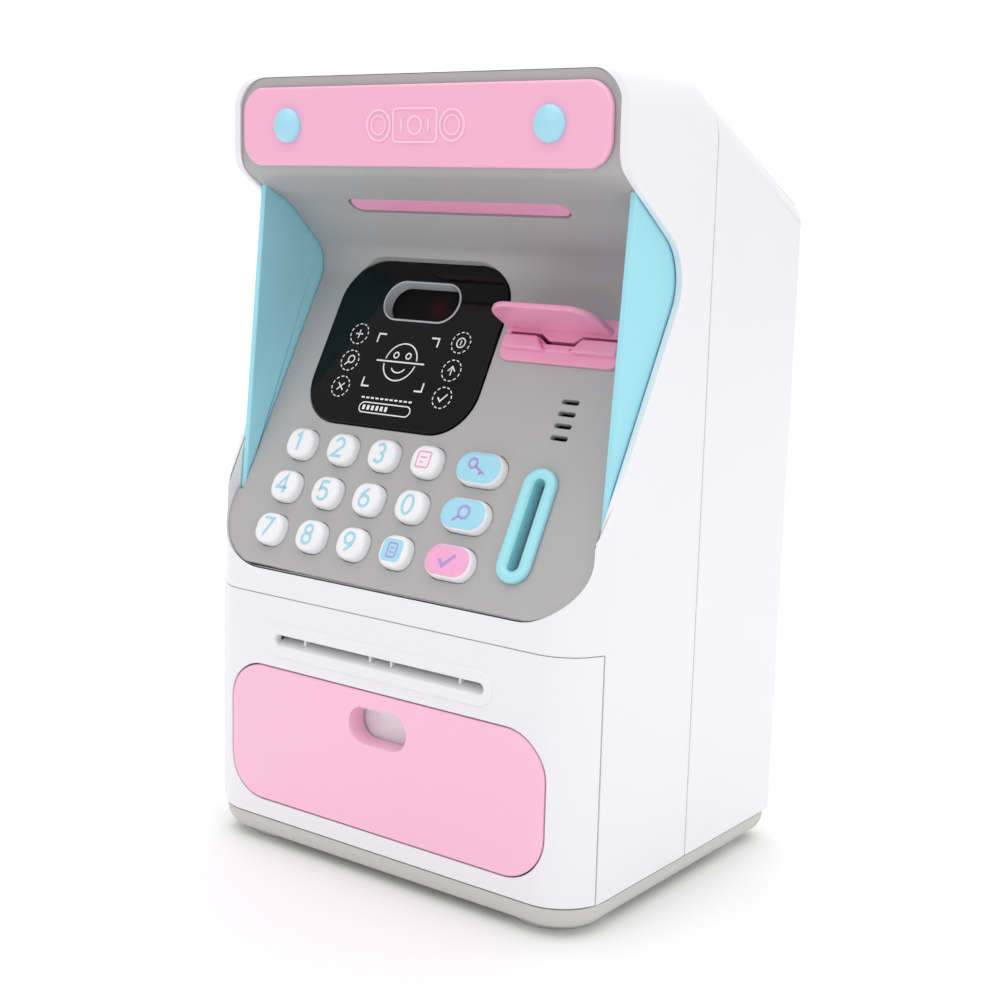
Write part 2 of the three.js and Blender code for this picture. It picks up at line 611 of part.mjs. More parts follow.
function drawerTray() {
  const { half, front, back, low, high, wall } = TRAY;
  const hull = box([-half, half], [front, back], [low, high]);
  const hollow = box([-half + wall, half - wall], [front + wall, back - wall], [low + wall, high + 9]);
  const collar = cut(
    box([-half, half], [FRONT + WALL, front + 0.5], [low, high]),
    box([-half + 2.4, half - 2.4], [-60, front - 0.01], [low + 2.4, high - 2.4]));
  return cut(join(hull, collar), hollow);
}

piece('drawer_tray', drawerTray(), white());

// ---- Note feeder ---------------------------------------------------------------------------

const PITCH = MODULE * (WHEEL_TEETH + PINION_TEETH) / 2;
const MOTOR_AT = [DRIVE.at[0] + PITCH * Math.SQRT1_2, DRIVE.at[1] + PITCH * Math.SQRT1_2];

function feederFrame() {
  const half = FEEDER_HALF;
  const plate = (x) => box([x, x + 1.8], [-46, -20], [54, 72.4]);
  const motorPlate = box([-half, 1.8 - half], [-33.5, -20], [54, 84]);
  const guide = (z) => box([-half, half], [-46, -3], z);
  const ear = (sign) => box(mirrored(sign, [half - 1, 62.2]), [-24, -6], [63, 64.2]);
  let body = join(
    plate(-half), plate(half - 1.8), motorPlate, guide([59.4, 60.6]), guide([63, 64.2]), ear(-1), ear(1));
  body = cut(body, box([-38, 38], [DRIVE.at[0] - 5.6, DRIVE.at[0] + 5.6], [59, 65]));
  body = cut(body, prism(disc(...DRIVE.at, 1.9, 16), -60, 60, SIDE));
  body = cut(body, prism(disc(...IDLER.at, 1.4, 16), -60, 60, SIDE));
  body = cut(body, prism(disc(...MOTOR_AT, 2.2, 16), -60, 0, SIDE));
  return body;
}

function roller(at, radius, shaft, reach) {
  const profile = [
    [0, -reach[0]], [shaft, -reach[0]], [shaft, -37], [radius, -37], [radius, -12], [shaft, -12],
    [shaft, 12], [radius, 12], [radius, 37], [shaft, 37], [shaft, reach[1]], [0, reach[1]],
  ];
  return turned(profile, at, SIDE);
}

// Spur gear outline with involute flanks; phase is the angle of a tooth's middle.
function gearShape(teeth, at, phase) {
  const pitch = MODULE * teeth / 2;
  const base = pitch * Math.cos(THREE.MathUtils.degToRad(20));
  const tip = pitch + 0.9 * MODULE;
  const root = pitch - 1.2 * MODULE;
  const backlash = 0.16;
  const roll = (r) => Math.sqrt(Math.max((r / base) ** 2 - 1, 0));
  const involute = (r) => roll(r) - Math.atan(roll(r));
  const half = (Math.PI / 2 - backlash) / teeth + involute(pitch);
  const points = [];
  for (let tooth = 0; tooth < teeth; tooth += 1) {
    const middle = phase + 2 * Math.PI * tooth / teeth;
    const flank = [root, (Math.max(base, root) + tip) / 2, tip];
    const put = (r, side) => {
      const angle = middle + side * (half - involute(r));
      points.push(new THREE.Vector2(at[0] + r * Math.cos(angle), at[1] + r * Math.sin(angle)));
    };
    flank.forEach((r) => put(r, -1));
    flank.slice().reverse().forEach((r) => put(r, 1));
  }
  return new THREE.Shape(points);
}

const MESH_ANGLE = Math.PI / 4;   // direction from the wheel's centre to the pinion's
piece('feeder_frame', feederFrame(), material(0xd9d9d7, 0.5));
piece('drive_roller', roller(DRIVE.at, DRIVE.radius, 1.5, [50, FEEDER_HALF + 1]), material(0x3a3a3c, 0.85));
piece('idler_roller', roller(IDLER.at, IDLER.radius, 1.1, [FEEDER_HALF + 1, FEEDER_HALF + 1]),
  material(0x3a3a3c, 0.85));
piece('drive_gear', cut(
  prism(gearShape(WHEEL_TEETH, DRIVE.at, MESH_ANGLE), ...GEAR_X, SIDE),
  prism(disc(...DRIVE.at, 1.8, 16), -60, 0, SIDE)), material(0xf0efe8, 0.5));
piece('motor_pinion', cut(
  prism(gearShape(PINION_TEETH, MOTOR_AT, MESH_ANGLE + Math.PI + Math.PI / PINION_TEETH), ...GEAR_X, SIDE),
  prism(disc(...MOTOR_AT, 1.1, 12), -60, 0, SIDE)), material(0xf0efe8, 0.5));
piece('feeder_motor', turned([
  [0, -50], [0.8, -50], [0.8, -42.6], [1.9, -42.6], [1.9, -40.9], [6, -40.9], [6, -20], [2, -20],
  [2, -18.6], [0, -18.6]], MOTOR_AT, SIDE), steel());

// ---- Batteries -----------------------------------------------------------------------------

function batteryBox() {
  const half = 24.4;
  const floor = CELL.y - CELL.radius - 2;
  const [low, high] = BATTERY_Z;
  const hull = box([-half, half], [floor, BACK - WALL - GAP], [low - 2, high + 1]);
  const hollow = box([-half + 1.4, half - 1.4], [floor + 1.4, BACK], [low - 0.6, high - 0.4]);
  const tab = cut(
    box([-5, 5], [BACK - 9, BACK - WALL - GAP], [low - 6, low - 1.5]),
    prism(disc(...COVER_SCREW, 1.3, 12), -60, -40, FACE));
  return join(cut(hull, hollow), tab);
}

piece('battery_box', batteryBox(), material(0x2c2c30, 0.6));
for (let k = -1; k <= 1; k += 1) {
  const base = BATTERY_Z[0] + 0.5;
  const cell = [[0, base], [CELL.radius, base], [CELL.radius, base + 48.4], [2.7, base + 48.4],
    [2.7, base + CELL.length], [0, base + CELL.length]];
  piece(`battery_${k + 2}`, turned(cell, [k * CELL.pitch, CELL.y], PLAN), material(0x4a7fb5, 0.35, 0.3));
}
const coverMiddle = (COVER.low + COVER.high) / 2;
const coverHeight = COVER.high - COVER.low - 2 * GAP;
piece('battery_cover', cut(
  prism(slab(0, coverMiddle, 2 * (COVER.half - GAP), coverHeight, 2.7), -BACK, -BACK + WALL, FACE),
  prism(disc(...COVER_SCREW, 1.3, 12), -60, -40, FACE),
  prism(disc(...COVER_SCREW, 2.3, 16), -60, -BACK + 1, FACE)), white());
piece('battery_cover_screw', turned(
  [[0, -BACK + 0.1], [2, -BACK + 0.1], [2, -BACK + 0.8], [1, -BACK + 0.8], [1, -BACK + 7], [0, -BACK + 7]],
  COVER_SCREW, FACE, 16), steel());

export default bank;
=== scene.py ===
"""Looks of the toy cash machine savings bank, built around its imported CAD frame.

Shapes are worked out in millimetres in the row frame: +Z up, the front faces -Y.
"""
import json
import math

import bmesh
import bpy
import numpy as np
from mathutils import Matrix, Vector


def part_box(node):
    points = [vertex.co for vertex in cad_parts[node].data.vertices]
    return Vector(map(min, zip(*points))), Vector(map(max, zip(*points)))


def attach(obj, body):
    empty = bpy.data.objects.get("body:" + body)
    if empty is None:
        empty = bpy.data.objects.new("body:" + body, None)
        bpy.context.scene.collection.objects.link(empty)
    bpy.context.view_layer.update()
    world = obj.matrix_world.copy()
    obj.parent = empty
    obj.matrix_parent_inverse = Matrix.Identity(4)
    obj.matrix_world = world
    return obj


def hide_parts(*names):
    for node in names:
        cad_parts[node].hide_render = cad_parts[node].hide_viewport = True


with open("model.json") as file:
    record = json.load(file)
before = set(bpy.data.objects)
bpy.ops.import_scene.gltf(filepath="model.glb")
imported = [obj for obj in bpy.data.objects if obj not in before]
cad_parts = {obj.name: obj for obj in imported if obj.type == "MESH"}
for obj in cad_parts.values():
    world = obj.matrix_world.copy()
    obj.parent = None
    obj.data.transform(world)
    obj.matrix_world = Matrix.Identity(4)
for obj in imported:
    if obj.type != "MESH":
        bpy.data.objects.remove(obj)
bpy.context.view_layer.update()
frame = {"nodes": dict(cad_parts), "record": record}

# ---- Driving dimensions, in millimetres ----

MM = 0.001
GAP = 0.3  # between pieces that meet
FIT = 0.12  # round the panel's head inside the hood
WIDE, FAR = 80, 90  # reach of cutting solids past the case's front and sides
BELOW, SKY, ABOVE = -20, 240, 260  # heights of cutting solids under and over the case
ARC_STEP = math.radians(6)
ARC_CHORD = 0.5

HALF_WIDTH = 65
FRONT = -51.8
BACK = 52.3
TOP = 215.7
WALL = 2.2
TOP_WALL = 1.4
CASE_BOTTOM = 8.6
SEAM = 1.8
FRONT_CORNER = 14
REAR_CORNER = 3.5
TOP_CORNER = 11.4
CHAMFER_START = (-5, TOP)
CHAMFER_END = (BACK, 187.4)
SEAM_LINE = 0.2  # half of the gap at the case seam
HOOD_RIM = ((-40.4, TOP, 4), (-40.3, 190.5, 9), (-8.8, 167.9, 14))  # (y, z, radius)
BOSS = 3.75
BOSS_SITES = [(sign * 59.4, z) for sign in (-1, 1) for z in (84, 180)]
SCREW_SEAT = 10
SCREW_BORE = 1.6
SCREW_WELL = 2.8

SLOPE = math.radians(28.6)
FOOT_Z = 81
RIM = 3.7
PANEL = 2.2
PANEL_HALF = 60.4
PANEL_BEND = (-6.1, 165.3)
CEILING_BEND = (-22.3, 180.4)
HEADER_FACE = -39.5
HEADER_FOOT = 190
OPENING_CORNER = 18.4
OPENING_HALF = 40  # half of the opening's length up the panel
OPENING_HEIGHTS = (60, 150)  # between them the case is open in front of the panel

WING_FRONT = ((-40.3, 100.1), (-32.2, 186.4))
WING_X = (60.7, 62.5)
LAMP = {"at": (-22.6, 180.9), "slope": math.radians(36), "length": 74, "width": 6.2}

KEY_NAMES = (
    ("key_1", "key_2", "key_3", "key_card", "key_pass"),
    ("key_4", "key_5", "key_6", "key_0", "key_search"),
    ("key_7", "key_8", "key_9", "key_menu", "key_accept"),
)
OVAL_KEYS = ("key_pass", "key_search", "key_accept")
KEY_SIZE = (9.8, 9.2, 3.9)  # width, height and corner radius
OVAL_SIZE = (15.2, 9.3, 4.6)
KEY_RISE = 3
KEY_ROUND = 1.6
KEY_LOW, KEY_HIGH = KEY_RISE - 0.05, KEY_RISE + 0.05
DIGIT_HEIGHT = 5.2

DISPLAY_HEIGHT = 50.2
DISPLAY_CORNER = 13
DISPLAY_RISE = 0.8
DISPLAY_SEAT = -1.2  # floor of the recess in the panel
ART_LOW, ART_HIGH = DISPLAY_RISE - 0.05, DISPLAY_RISE + 0.04
COIN_PILL = (10, 31)
WINDOW = {"x": -19.1, "s": 83.2, "width": 29, "height": 14.2}
COIN_OPENING = (3.4, 25)
SPEAKER_SLOT = (5.3, 1.3)
SPEAKER_PITCH = 3.35
READER = {"half": 19, "low": 68.3, "high": 82, "thickness": 1.2, "slot": 76.5}
READER_LIP = {"low": 71.4, "high": 75.5, "notch": 73.4, "rise": 2.6}
HOOD = {"from": 12.8, "to": 46.6, "low": 77.6, "thickness": 1.6, "reach": 14.5, "corner": 7.5}

DOOR_TOP = 73.6
DOOR_EDGE = -41.7
DOOR_GAP = 0.5
DOOR_LINE = 0.14  # gap over and under the door
FRONT_WALL = (40, 60)  # depths along FACE that hold the front wall alone
HINGE = (-62.6, -43.4)
KNUCKLE = 2.4
PIN_BORE = 1.2
DRAWER = {"half": 54.5, "low": 14.2, "high": 53.1, "corner": 12}
FINGER_HOLE = (43.6, 20, 10.2)  # middle's height above the floor, width and height
NOTE_X = -1
NOTE_Z = 61.6
NOTE_SLOT = (72.4, 2.7)
NOTE_FRAME = (78.4, 9.5, 0.5)
NOTE_RIBS = (-27.5, -3.9, 3.5, 26.6)
NOTE_LEDGE = 4  # depth of the slot's sloping lower lip
CATCH = (54, -37)
CATCH_HALF = 4.5
CATCH_BORE = 2.6
RAIL_DEPTHS = (-47, -8)
RAIL_FOOT = 13.6
BASE_TAPER = 4.4
BASE_FLOOR = 2.2
BASE_WALL = 7
PAD_TOP = BASE_FLOOR + GAP

SIN = math.sin(SLOPE)
COS = math.cos(SLOPE)


# ---- Frames and outlines ----

def frame_of(across, up, origin=(0, 0, 0)):
    across = Vector(across)
    up = Vector(up)
    out = across.cross(up)
    matrix = Matrix((across, up, out)).transposed().to_4x4()
    matrix.translation = Vector(origin)
    return matrix


CHAMFER_ANGLE = math.atan2(CHAMFER_START[1] - CHAMFER_END[1], CHAMFER_END[0] - CHAMFER_START[0])
PLAN = frame_of((1, 0, 0), (0, 1, 0))  # (x, y), out = +Z
SIDE = frame_of((0, 1, 0), (0, 0, 1))  # (y, z), out = +X
FACE = frame_of((1, 0, 0), (0, 0, 1))  # (x, z), out = -Y
PANEL_FRAME = frame_of((1, 0, 0), (0, SIN, COS), (0, FRONT, FOOT_Z))
CHAMFER_FRAME = frame_of(
    (1, 0, 0), (0, math.sin(CHAMFER_ANGLE), math.cos(CHAMFER_ANGLE)), (0, *CHAMFER_START))
LAMP_FRAME = frame_of(
    (1, 0, 0), (0, -math.cos(LAMP["slope"]), math.sin(LAMP["slope"])), (0, *LAMP["at"]))


def centre_of(node):
    low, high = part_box(node)
    return (low + high) / 2 / MM


def on_panel(node):
    """The (x, s) of a panel fitting: s runs up the slope from the panel's foot."""
    place = PANEL_FRAME.inverted() @ centre_of(node)
    return place.x, place.y


def panel_point(s, h=0):
    """A point of the sloping panel as (y, z), at height h above its surface."""
    return FRONT + s * SIN - h * COS, FOOT_Z + s * COS + h * SIN


def outline(corners, steps=None):
    """Closed outline from (a, b, radius) corners; steps fixes the points on each rounded corner."""
    points = []
    for i, corner in enumerate(corners):
        here = np.array(corner[:2], float)
        radius = corner[2] if len(corner) > 2 else 0
        back = np.array(corners[i - 1][:2], float) - here
        on = np.array(corners[(i + 1) % len(corners)][:2], float) - here
        back /= np.linalg.norm(back)
        on /= np.linalg.norm(on)
        half = math.acos(max(-1, min(1, back @ on))) / 2
        if radius == 0 or half > 1.565:
            points.append(here)
            continue
        bisector = (back + on) / np.linalg.norm(back + on)
        centre = here + bisector * radius / math.sin(half)
        start = here + back * radius / math.tan(half) - centre
        end = here + on * radius / math.tan(half) - centre
        turn = math.atan2(start[0] * end[1] - start[1] * end[0], start @ end)
        finest = math.ceil(abs(turn) / ARC_STEP)
        count = steps or max(4, min(finest, math.ceil(abs(turn) * radius / ARC_CHORD)))
        for k in range(count + 1):
            c, s = math.cos(turn * k / count), math.sin(turn * k / count)
            points.append(centre + (c * start[0] - s * start[1], s * start[0] + c * start[1]))
    return points


def slab(x, y, width, height, radius=0, steps=None):
    a, b = width / 2, height / 2
    radius = min(radius, 0.998 * min(a, b))
    corners = ((x - a, y - b), (x + a, y - b), (x + a, y + b), (x - a, y + b))
    return outline([(*corner, radius) for corner in corners], steps)


def pill(x, y, width, height, steps=None):
    return slab(x, y, width, height, min(width, height) / 2, steps)


def disc(x, y, radius, sides=40):
    turns = [2 * math.pi * k / sides for k in range(sides)]
    return [np.array((x + radius * math.cos(t), y + radius * math.sin(t))) for t in turns]


def turn_steps(degrees, steps, first=0):
    """Even angles from 0 to so many degrees, in radians."""
    return [math.radians(degrees * k / steps) for k in range(first, steps + 1)]


# ---- Solids ----

def mesh_of(points, faces):
    mesh = bpy.data.meshes.new("solid")
    mesh.from_pydata([tuple(p) for p in points], [], faces)
    shape = bmesh.new()
    shape.from_mesh(mesh)
    bmesh.ops.recalc_face_normals(shape, faces=shape.faces)
    shape.to_mesh(mesh)
    shape.free()
    return mesh


def loft(rings, place=PLAN, around=False):
    """Skin over rings of (a, b, height) with equal counts; around joins the last ring to the first."""
    count = len(rings[0])
    points = [place @ Vector(p) for ring in rings for p in ring]
    faces = []
    for r in range(len(rings) if around else len(rings) - 1):
        low, high = r * count, (r + 1) % len(rings) * count
        for k in range(count):
            j = (k + 1) % count
            faces.append((low + k, low + j, high + j, high + k))
    if not around:
        faces.append(tuple(reversed(range(count))))
        faces.append(tuple((len(rings) - 1) * count + k for k in range(count)))
    return mesh_of(points, faces)


def moulding(ring, profile, place, around=False):
    """Skin through ring(inset) at every (inset, height) of a profile."""
    return loft([[(*p, height) for p in ring(inset)] for inset, height in profile], place, around)


def prism(points, low, high, place=PLAN):
    return moulding(lambda _: points, ((0, low), (0, high)), place)


def box(x, y, z):
    return prism(slab((x[0] + x[1]) / 2, (y[0] + y[1]) / 2, x[1] - x[0], y[1] - y[0]), *z)


def turned(profile, at=(0, 0), place=PLAN, sides=48):
    """Turned solid from (radius, height) pairs that start and end on the axis."""
    rings = [[(*p, height) for p in disc(*at, radius, sides)] for radius, height in profile[1:-1]]
    points = [place @ Vector(p) for ring in rings for p in ring]
    faces = []
    for r in range(len(rings) - 1):
        low, high = r * sides, (r + 1) * sides
        for k in range(sides):
            j = (k + 1) % sides
            faces.append((low + k, low + j, high + j, high + k))
    for ring, height in ((0, profile[0][1]), (len(rings) - 1, profile[-1][1])):
        points.append(place @ Vector((*at, height)))
        for k in range(sides):
            faces.append((ring * sides + k, ring * sides + (k + 1) % sides, len(points) - 1))
    return mesh_of(points, faces)


def new_object(name, data):
    made = bpy.data.objects.new(name, data)
    bpy.context.scene.collection.objects.link(made)
    return made


def combine(base, tool, operation):
    first = new_object("first", base)
    second = new_object("second", tool)
    modifier = first.modifiers.new("combine", "BOOLEAN")
    modifier.operation = operation
    modifier.object = second
    modifier.solver = "MANIFOLD"
    graph = bpy.context.evaluated_depsgraph_get()
    made = bpy.data.meshes.new_from_object(first.evaluated_get(graph))
    for item in (first, second):
        bpy.data.objects.remove(item)
    if not made.polygons:
        raise ValueError(f"{operation} left nothing")
    return made


def cut(base, *tools):
    for tool in tools:
        base = combine(base, tool, "DIFFERENCE")
    return base


def join(*solids):
    base = solids[0]
    for solid in solids[1:]:
        base = combine(base, solid, "UNION")
    return base


def common(*solids):
    base = solids[0]
    for solid in solids[1:]:
        base = combine(base, solid, "INTERSECT")
    return base


def together(*solids):
    """One mesh of several bodies that don't touch."""
    shape = bmesh.new()
    for solid in solids:
        shape.from_mesh(solid)
    mesh = bpy.data.meshes.new("solids")
    shape.to_mesh(mesh)
    shape.free()
    return mesh


def soften(mesh, width, where=None, angle=32, steps=3, merge=0.5):
    """Rounds the sharp edges whose middle satisfies where, once points too near each other are merged."""
    shape = bmesh.new()
    shape.from_mesh(mesh)
    bmesh.ops.remove_doubles(shape, verts=shape.verts, dist=merge * width)
    bmesh.ops.dissolve_degenerate(shape, edges=shape.edges, dist=0.01)
    limit = math.radians(angle)
    edges = []
    for edge in shape.edges:
        if len(edge.link_faces) != 2 or edge.calc_face_angle() < limit:
            continue
        if where is None or where((edge.verts[0].co + edge.verts[1].co) / 2):
            edges.append(edge)
    bmesh.ops.bevel(
        shape, geom=edges, offset=width, offset_type="OFFSET", segments=steps, profile=0.5,
        affect="EDGES", clamp_overlap=False, material=-1, face_strength_mode="ALL")
    shape.to_mesh(mesh)
    shape.free()
    return mesh


def ribbon(points, width, low, high, place, closed=False):
    """Flat raised line along 2D points, with mitred turns."""
    line = [np.array(p, float) for p in points]
    count = len(line)
    rings = []
    for i, here in enumerate(line):
        before = line[i - 1] if closed or i else 2 * here - line[i + 1]
        after = line[(i + 1) % count] if closed or i < count - 1 else 2 * here - line[i - 1]
        one = (here - before) / np.linalg.norm(here - before)
        two = (after - here) / np.linalg.norm(after - here)
        along = one + two
        along /= np.linalg.norm(along)
        reach = width / 2 / max(0.4, along @ two)
        side = np.array((-along[1], along[0])) * reach
        left, right = here - side, here + side
        rings.append([(*left, low), (*right, low), (*right, high), (*left, high)])
    return loft(rings, place, around=closed)


def arc(x, y, radius, start=0, end=360, sides=24):
    turns = [math.radians(start + (end - start) * k / sides) for k in range(sides + 1)]
    return [(x + radius * math.cos(t), y + radius * math.sin(t)) for t in turns]


# ---- Materials ----

def tint(code):
    """Linear colour from a display colour such as F3A8CB."""
    values = [int(code[i:i + 2], 16) / 255 for i in (0, 2, 4)]
    return tuple(v / 12.92 if v <= 0.04045 else ((v + 0.055) / 1.055) ** 2.4 for v in values) + (1,)


class Surface:
    """A node material with a principled shader, and helpers for what feeds it."""

    def __init__(self, name):
        self.material = bpy.data.materials.new(name)
        self.material.use_nodes = True
        self.nodes = self.material.node_tree.nodes
        self.links = self.material.node_tree.links
        self.shader = self.nodes["Principled BSDF"]
        self.place = self.nodes.new("ShaderNodeTexCoord").outputs["Object"]

    def set(self, **values):
        for name, value in values.items():
            self.shader.inputs[name.replace("_", " ")].default_value = value
        return self

    def feed(self, name, socket):
        self.links.new(socket, self.shader.inputs[name])

    def add(self, kind, source, entry, **values):
        """A new node whose input named entry comes from the socket source."""
        node = self.nodes.new("ShaderNode" + kind)
        for name, value in values.items():
            node.inputs[name.replace("_", " ")].default_value = value
        self.links.new(source, node.inputs[entry])
        return node

    def noise(self, scale, detail=3, stretch=(1, 1, 1)):
        place = self.add("Mapping", self.place, "Vector", Scale=stretch).outputs["Vector"]
        return self.add("TexNoise", place, "Vector", Scale=scale, Detail=detail).outputs["Fac"]

    def spread(self, socket, low, high, start=0.3, end=0.7):
        limits = {"From_Min": start, "From_Max": end, "To_Min": low, "To_Max": high}
        return self.add("MapRange", socket, "Value", **limits).outputs["Result"]

    def blend(self, socket, first, second):
        node = self.nodes.new("ShaderNodeMix")
        node.data_type = "RGBA"
        self.links.new(socket, node.inputs["Factor"])
        node.inputs["A"].default_value = first
        node.inputs["B"].default_value = second
        return node.outputs["Result"]

    def bump(self, socket, distance, strength=0.5):
        node = self.add("Bump", socket, "Height", Distance=distance * MM, Strength=strength)
        self.feed("Normal", node.outputs["Normal"])


def moulded(name, code, rough, grain, grain_size, coat=0.0):
    """Moulded plastic: fine grain (depth and size in mm), slow flow marks and a faint shift of colour."""
    surface = Surface(name)
    colour = tint(code)
    deeper = tuple(0.975 * c for c in colour[:3]) + (1,)
    surface.feed("Base Color", surface.blend(surface.noise(22, 1), colour, deeper))
    surface.feed("Roughness", surface.spread(surface.noise(60, 1), rough - 0.03, rough + 0.04, 0, 1))
    surface.bump(surface.noise(1 / (grain_size * MM), 2), grain)
    surface.set(Coat_Weight=coat, Coat_Roughness=0.12, IOR=1.49)
    return surface.material


def worn(name, codes, colour_noise, rough, rough_scale, stretch=(1, 1, 1)):
    """A surface that drifts between two colours and two values of roughness."""
    surface = Surface(name)
    mottling = surface.spread(surface.noise(*colour_noise), 0, 1)
    surface.feed("Base Color", surface.blend(mottling, *codes))
    surface.feed("Roughness", surface.spread(surface.noise(rough_scale, 3, stretch), *rough))
    return surface


def shade(code, factor, lift=0.0):
    """A display colour and its shade, both linear."""
    colour = tint(code)
    return colour, tuple(min(1, factor * c + lift) for c in colour[:3]) + (1,)


def metal(name, code):
    stretch = (1, 1, 12)
    surface = worn(name, shade(code, 0.75), (300, 4), (0.22, 0.42), 900, stretch)
    surface.bump(surface.noise(1500, 2, stretch), 0.01, 0.4)
    surface.set(Metallic=1.0)
    return surface.material


def rubber(name, code, rough=0.75):
    colour, dusty = shade(code, 1.3, 0.01)
    halfway = tuple((a + b) / 2 for a, b in zip(colour, dusty))
    surface = worn(name, (colour, halfway), (180, 4), (rough - 0.1, rough + 0.1), 400)
    surface.bump(surface.noise(2500, 3), 0.03, 0.6)
    return surface.material


def printed(name, code, rough=0.45):
    """Pad-printed ink: slightly uneven cover."""
    surface = worn(name, shade(code, 0.95), (700, 4), (rough - 0.06, rough + 0.06), 1200)
    surface.bump(surface.noise(3000, 2), 0.006, 0.4)
    return surface.material


def gloss_black(name):
    surface = Surface(name)
    surface.feed("Base Color", surface.blend(
        surface.spread(surface.noise(40), 0, 1), tint("050506"), tint("0A0A0B")))
    surface.feed("Roughness", surface.spread(surface.noise(90, 5), 0.03, 0.08))
    surface.bump(surface.noise(500, 2), 0.001, 0.2)
    surface.set(IOR=1.3)
    return surface.material


def sensor_glow(name, centre, radius):
    """Dark filter with a dull red light that fades away from its centre."""
    surface = Surface(name)
    away = surface.nodes.new("ShaderNodeVectorMath")
    away.operation = "DISTANCE"
    away.inputs[1].default_value = centre
    surface.links.new(surface.place, away.inputs[0])
    near = surface.spread(away.outputs["Value"], 1, 0, 0.1 * radius, radius)
    mottled = surface.spread(surface.noise(600, 3), 0.75, 1.1)
    product = surface.nodes.new("ShaderNodeMath")
    product.operation = "MULTIPLY"
    surface.links.new(near, product.inputs[0])
    surface.links.new(mottled, product.inputs[1])
    surface.feed("Base Color", surface.blend(product.outputs["Value"], tint("030303"), tint("1C060B")))
    surface.feed("Emission Color", surface.blend(product.outputs["Value"], (0, 0, 0, 1), tint("A01830")))
    surface.set(Emission_Strength=0.03, Roughness=0.3, IOR=1.2)
    return surface.material


def board_green(name):
    surface = Surface(name)
    node = surface.add(
        "TexBrick", surface.place, "Vector", Scale=90, Mortar_Size=0.04,
        Color1=tint("2B7A43"), Color2=tint("236B39"), Mortar=tint("3B9457"))
    surface.feed("Base Color", node.outputs["Color"])
    surface.feed("Roughness", surface.spread(surface.noise(500), 0.3, 0.5))
    surface.bump(node.outputs["Fac"], 0.03, 0.5)
    return surface.material


def cell_sleeve(name, low, high):
    """Battery sleeve: a wide band, a narrow pale band and bare metal at the ends."""
    surface = Surface(name)
    split = surface.nodes.new("ShaderNodeSeparateXYZ")
    surface.links.new(surface.place, split.inputs[0])
    ramp = surface.nodes.new("ShaderNodeValToRGB")
    ramp.color_ramp.interpolation = "CONSTANT"
    stops = ((0, "A9ADB2"), (0.03, "2F6CA6"), (0.62, "E6E8EA"), (0.68, "2F6CA6"), (0.93, "A9ADB2"))
    ramp.color_ramp.elements[0].color = tint(stops[0][1])
    ramp.color_ramp.elements[1].position = stops[1][0]
    ramp.color_ramp.elements[1].color = tint(stops[1][1])
    for position, code in stops[2:]:
        ramp.color_ramp.elements.new(position).color = tint(code)
    surface.links.new(surface.spread(split.outputs["Z"], 0, 1, low, high), ramp.inputs["Fac"])
    surface.feed("Base Color", ramp.outputs["Color"])
    surface.feed("Roughness", surface.spread(surface.noise(500), 0.22, 0.36))
    surface.bump(surface.noise(900), 0.01, 0.3)
    surface.set(Metallic=0.4)
    return surface.material


WHITE = moulded("white_abs", "F2F1F5", 0.3, 0.0015, 0.9, coat=0.2)
GREY = moulded("grey_abs", "B3B1B1", 0.45, 0.004, 0.6)
BASE_GREY = moulded("base_grey_abs", "CDCCC7", 0.48, 0.004, 0.6)
HEADER_PINK = moulded("header_pink_abs", "FAB6D4", 0.3, 0.0015, 0.9, coat=0.2)
DRAWER_PINK = moulded("drawer_pink_abs", "FFC4DE", 0.3, 0.0015, 0.9, coat=0.2)
READER_PINK = moulded("reader_pink_abs", "F3A3C5", 0.34, 0.002, 0.8, coat=0.1)
STUD_BLUE = moulded("stud_blue_abs", "A6DFF2", 0.18, 0.002, 0.8, coat=0.5)
WING_BLUE = moulded("wing_blue_abs", "A3E4F2", 0.34, 0.0015, 0.9, coat=0.1)
COIN_CYAN = moulded("coin_cyan_abs", "A3E6F1", 0.24, 0.002, 0.8, coat=0.3)
INNER = moulded("inner_abs", "DEDEDC", 0.45, 0.02, 0.4)
BLACK = moulded("black_abs", "1B1B1D", 0.5, 0.03, 0.4)
KEY_WHITE = moulded("key_white_abs", "F5F5F7", 0.3, 0.0015, 0.6, coat=0.2)
GEAR_WHITE = moulded("gear_acetal", "EDEBE2", 0.4, 0.015, 0.3)
LENS_PINK = moulded("lamp_pink_lens", "F6A8CC", 0.25, 0.002, 0.8, coat=0.4)
MAT_GREY = rubber("mat_silicone_rubber", "CFCFCC", 0.6)
FOOT_RUBBER = rubber("foot_grey_rubber", "C9C8C3")
ROLLER_RUBBER = rubber("roller_black_rubber", "2C2C2E")
STEEL = metal("zinc_plated_steel", "C4C7CC")
DISPLAY_BLACK = gloss_black("display_gloss_black")
BOARD = board_green("circuit_board_green")
# The emblem's lines are the header's pink; this paler pink is a painted highlight where the raised lines
# catch the light.
EMBLEM_PAINTED_HIGHLIGHT = moulded("emblem_pink_painted_highlight", "FBD3E4", 0.35, 0.001, 0.8)
INK_WHITE = printed("ink_white", "F2F4F6")
INK_BLUE = printed("ink_blue", "A8DAEE")
INK_PINK = printed("ink_pink", "F7A9D3")
INK_PURPLE = printed("ink_purple", "B49ADA")
TOP_BLUE = printed("key_top_blue", "A6E0F4", 0.36)
TOP_PINK = printed("key_top_pink", "F9AFD8", 0.36)
WINDOW_RIM = moulded("window_rim_clear", "B9BBC2", 0.12, 0.001, 0.8, coat=0.8)


# ---- Pieces ----

def weighted_normals(shown):
    weighted = shown.modifiers.new("weighted_normals", "WEIGHTED_NORMAL")
    weighted.keep_sharp = True
    return weighted


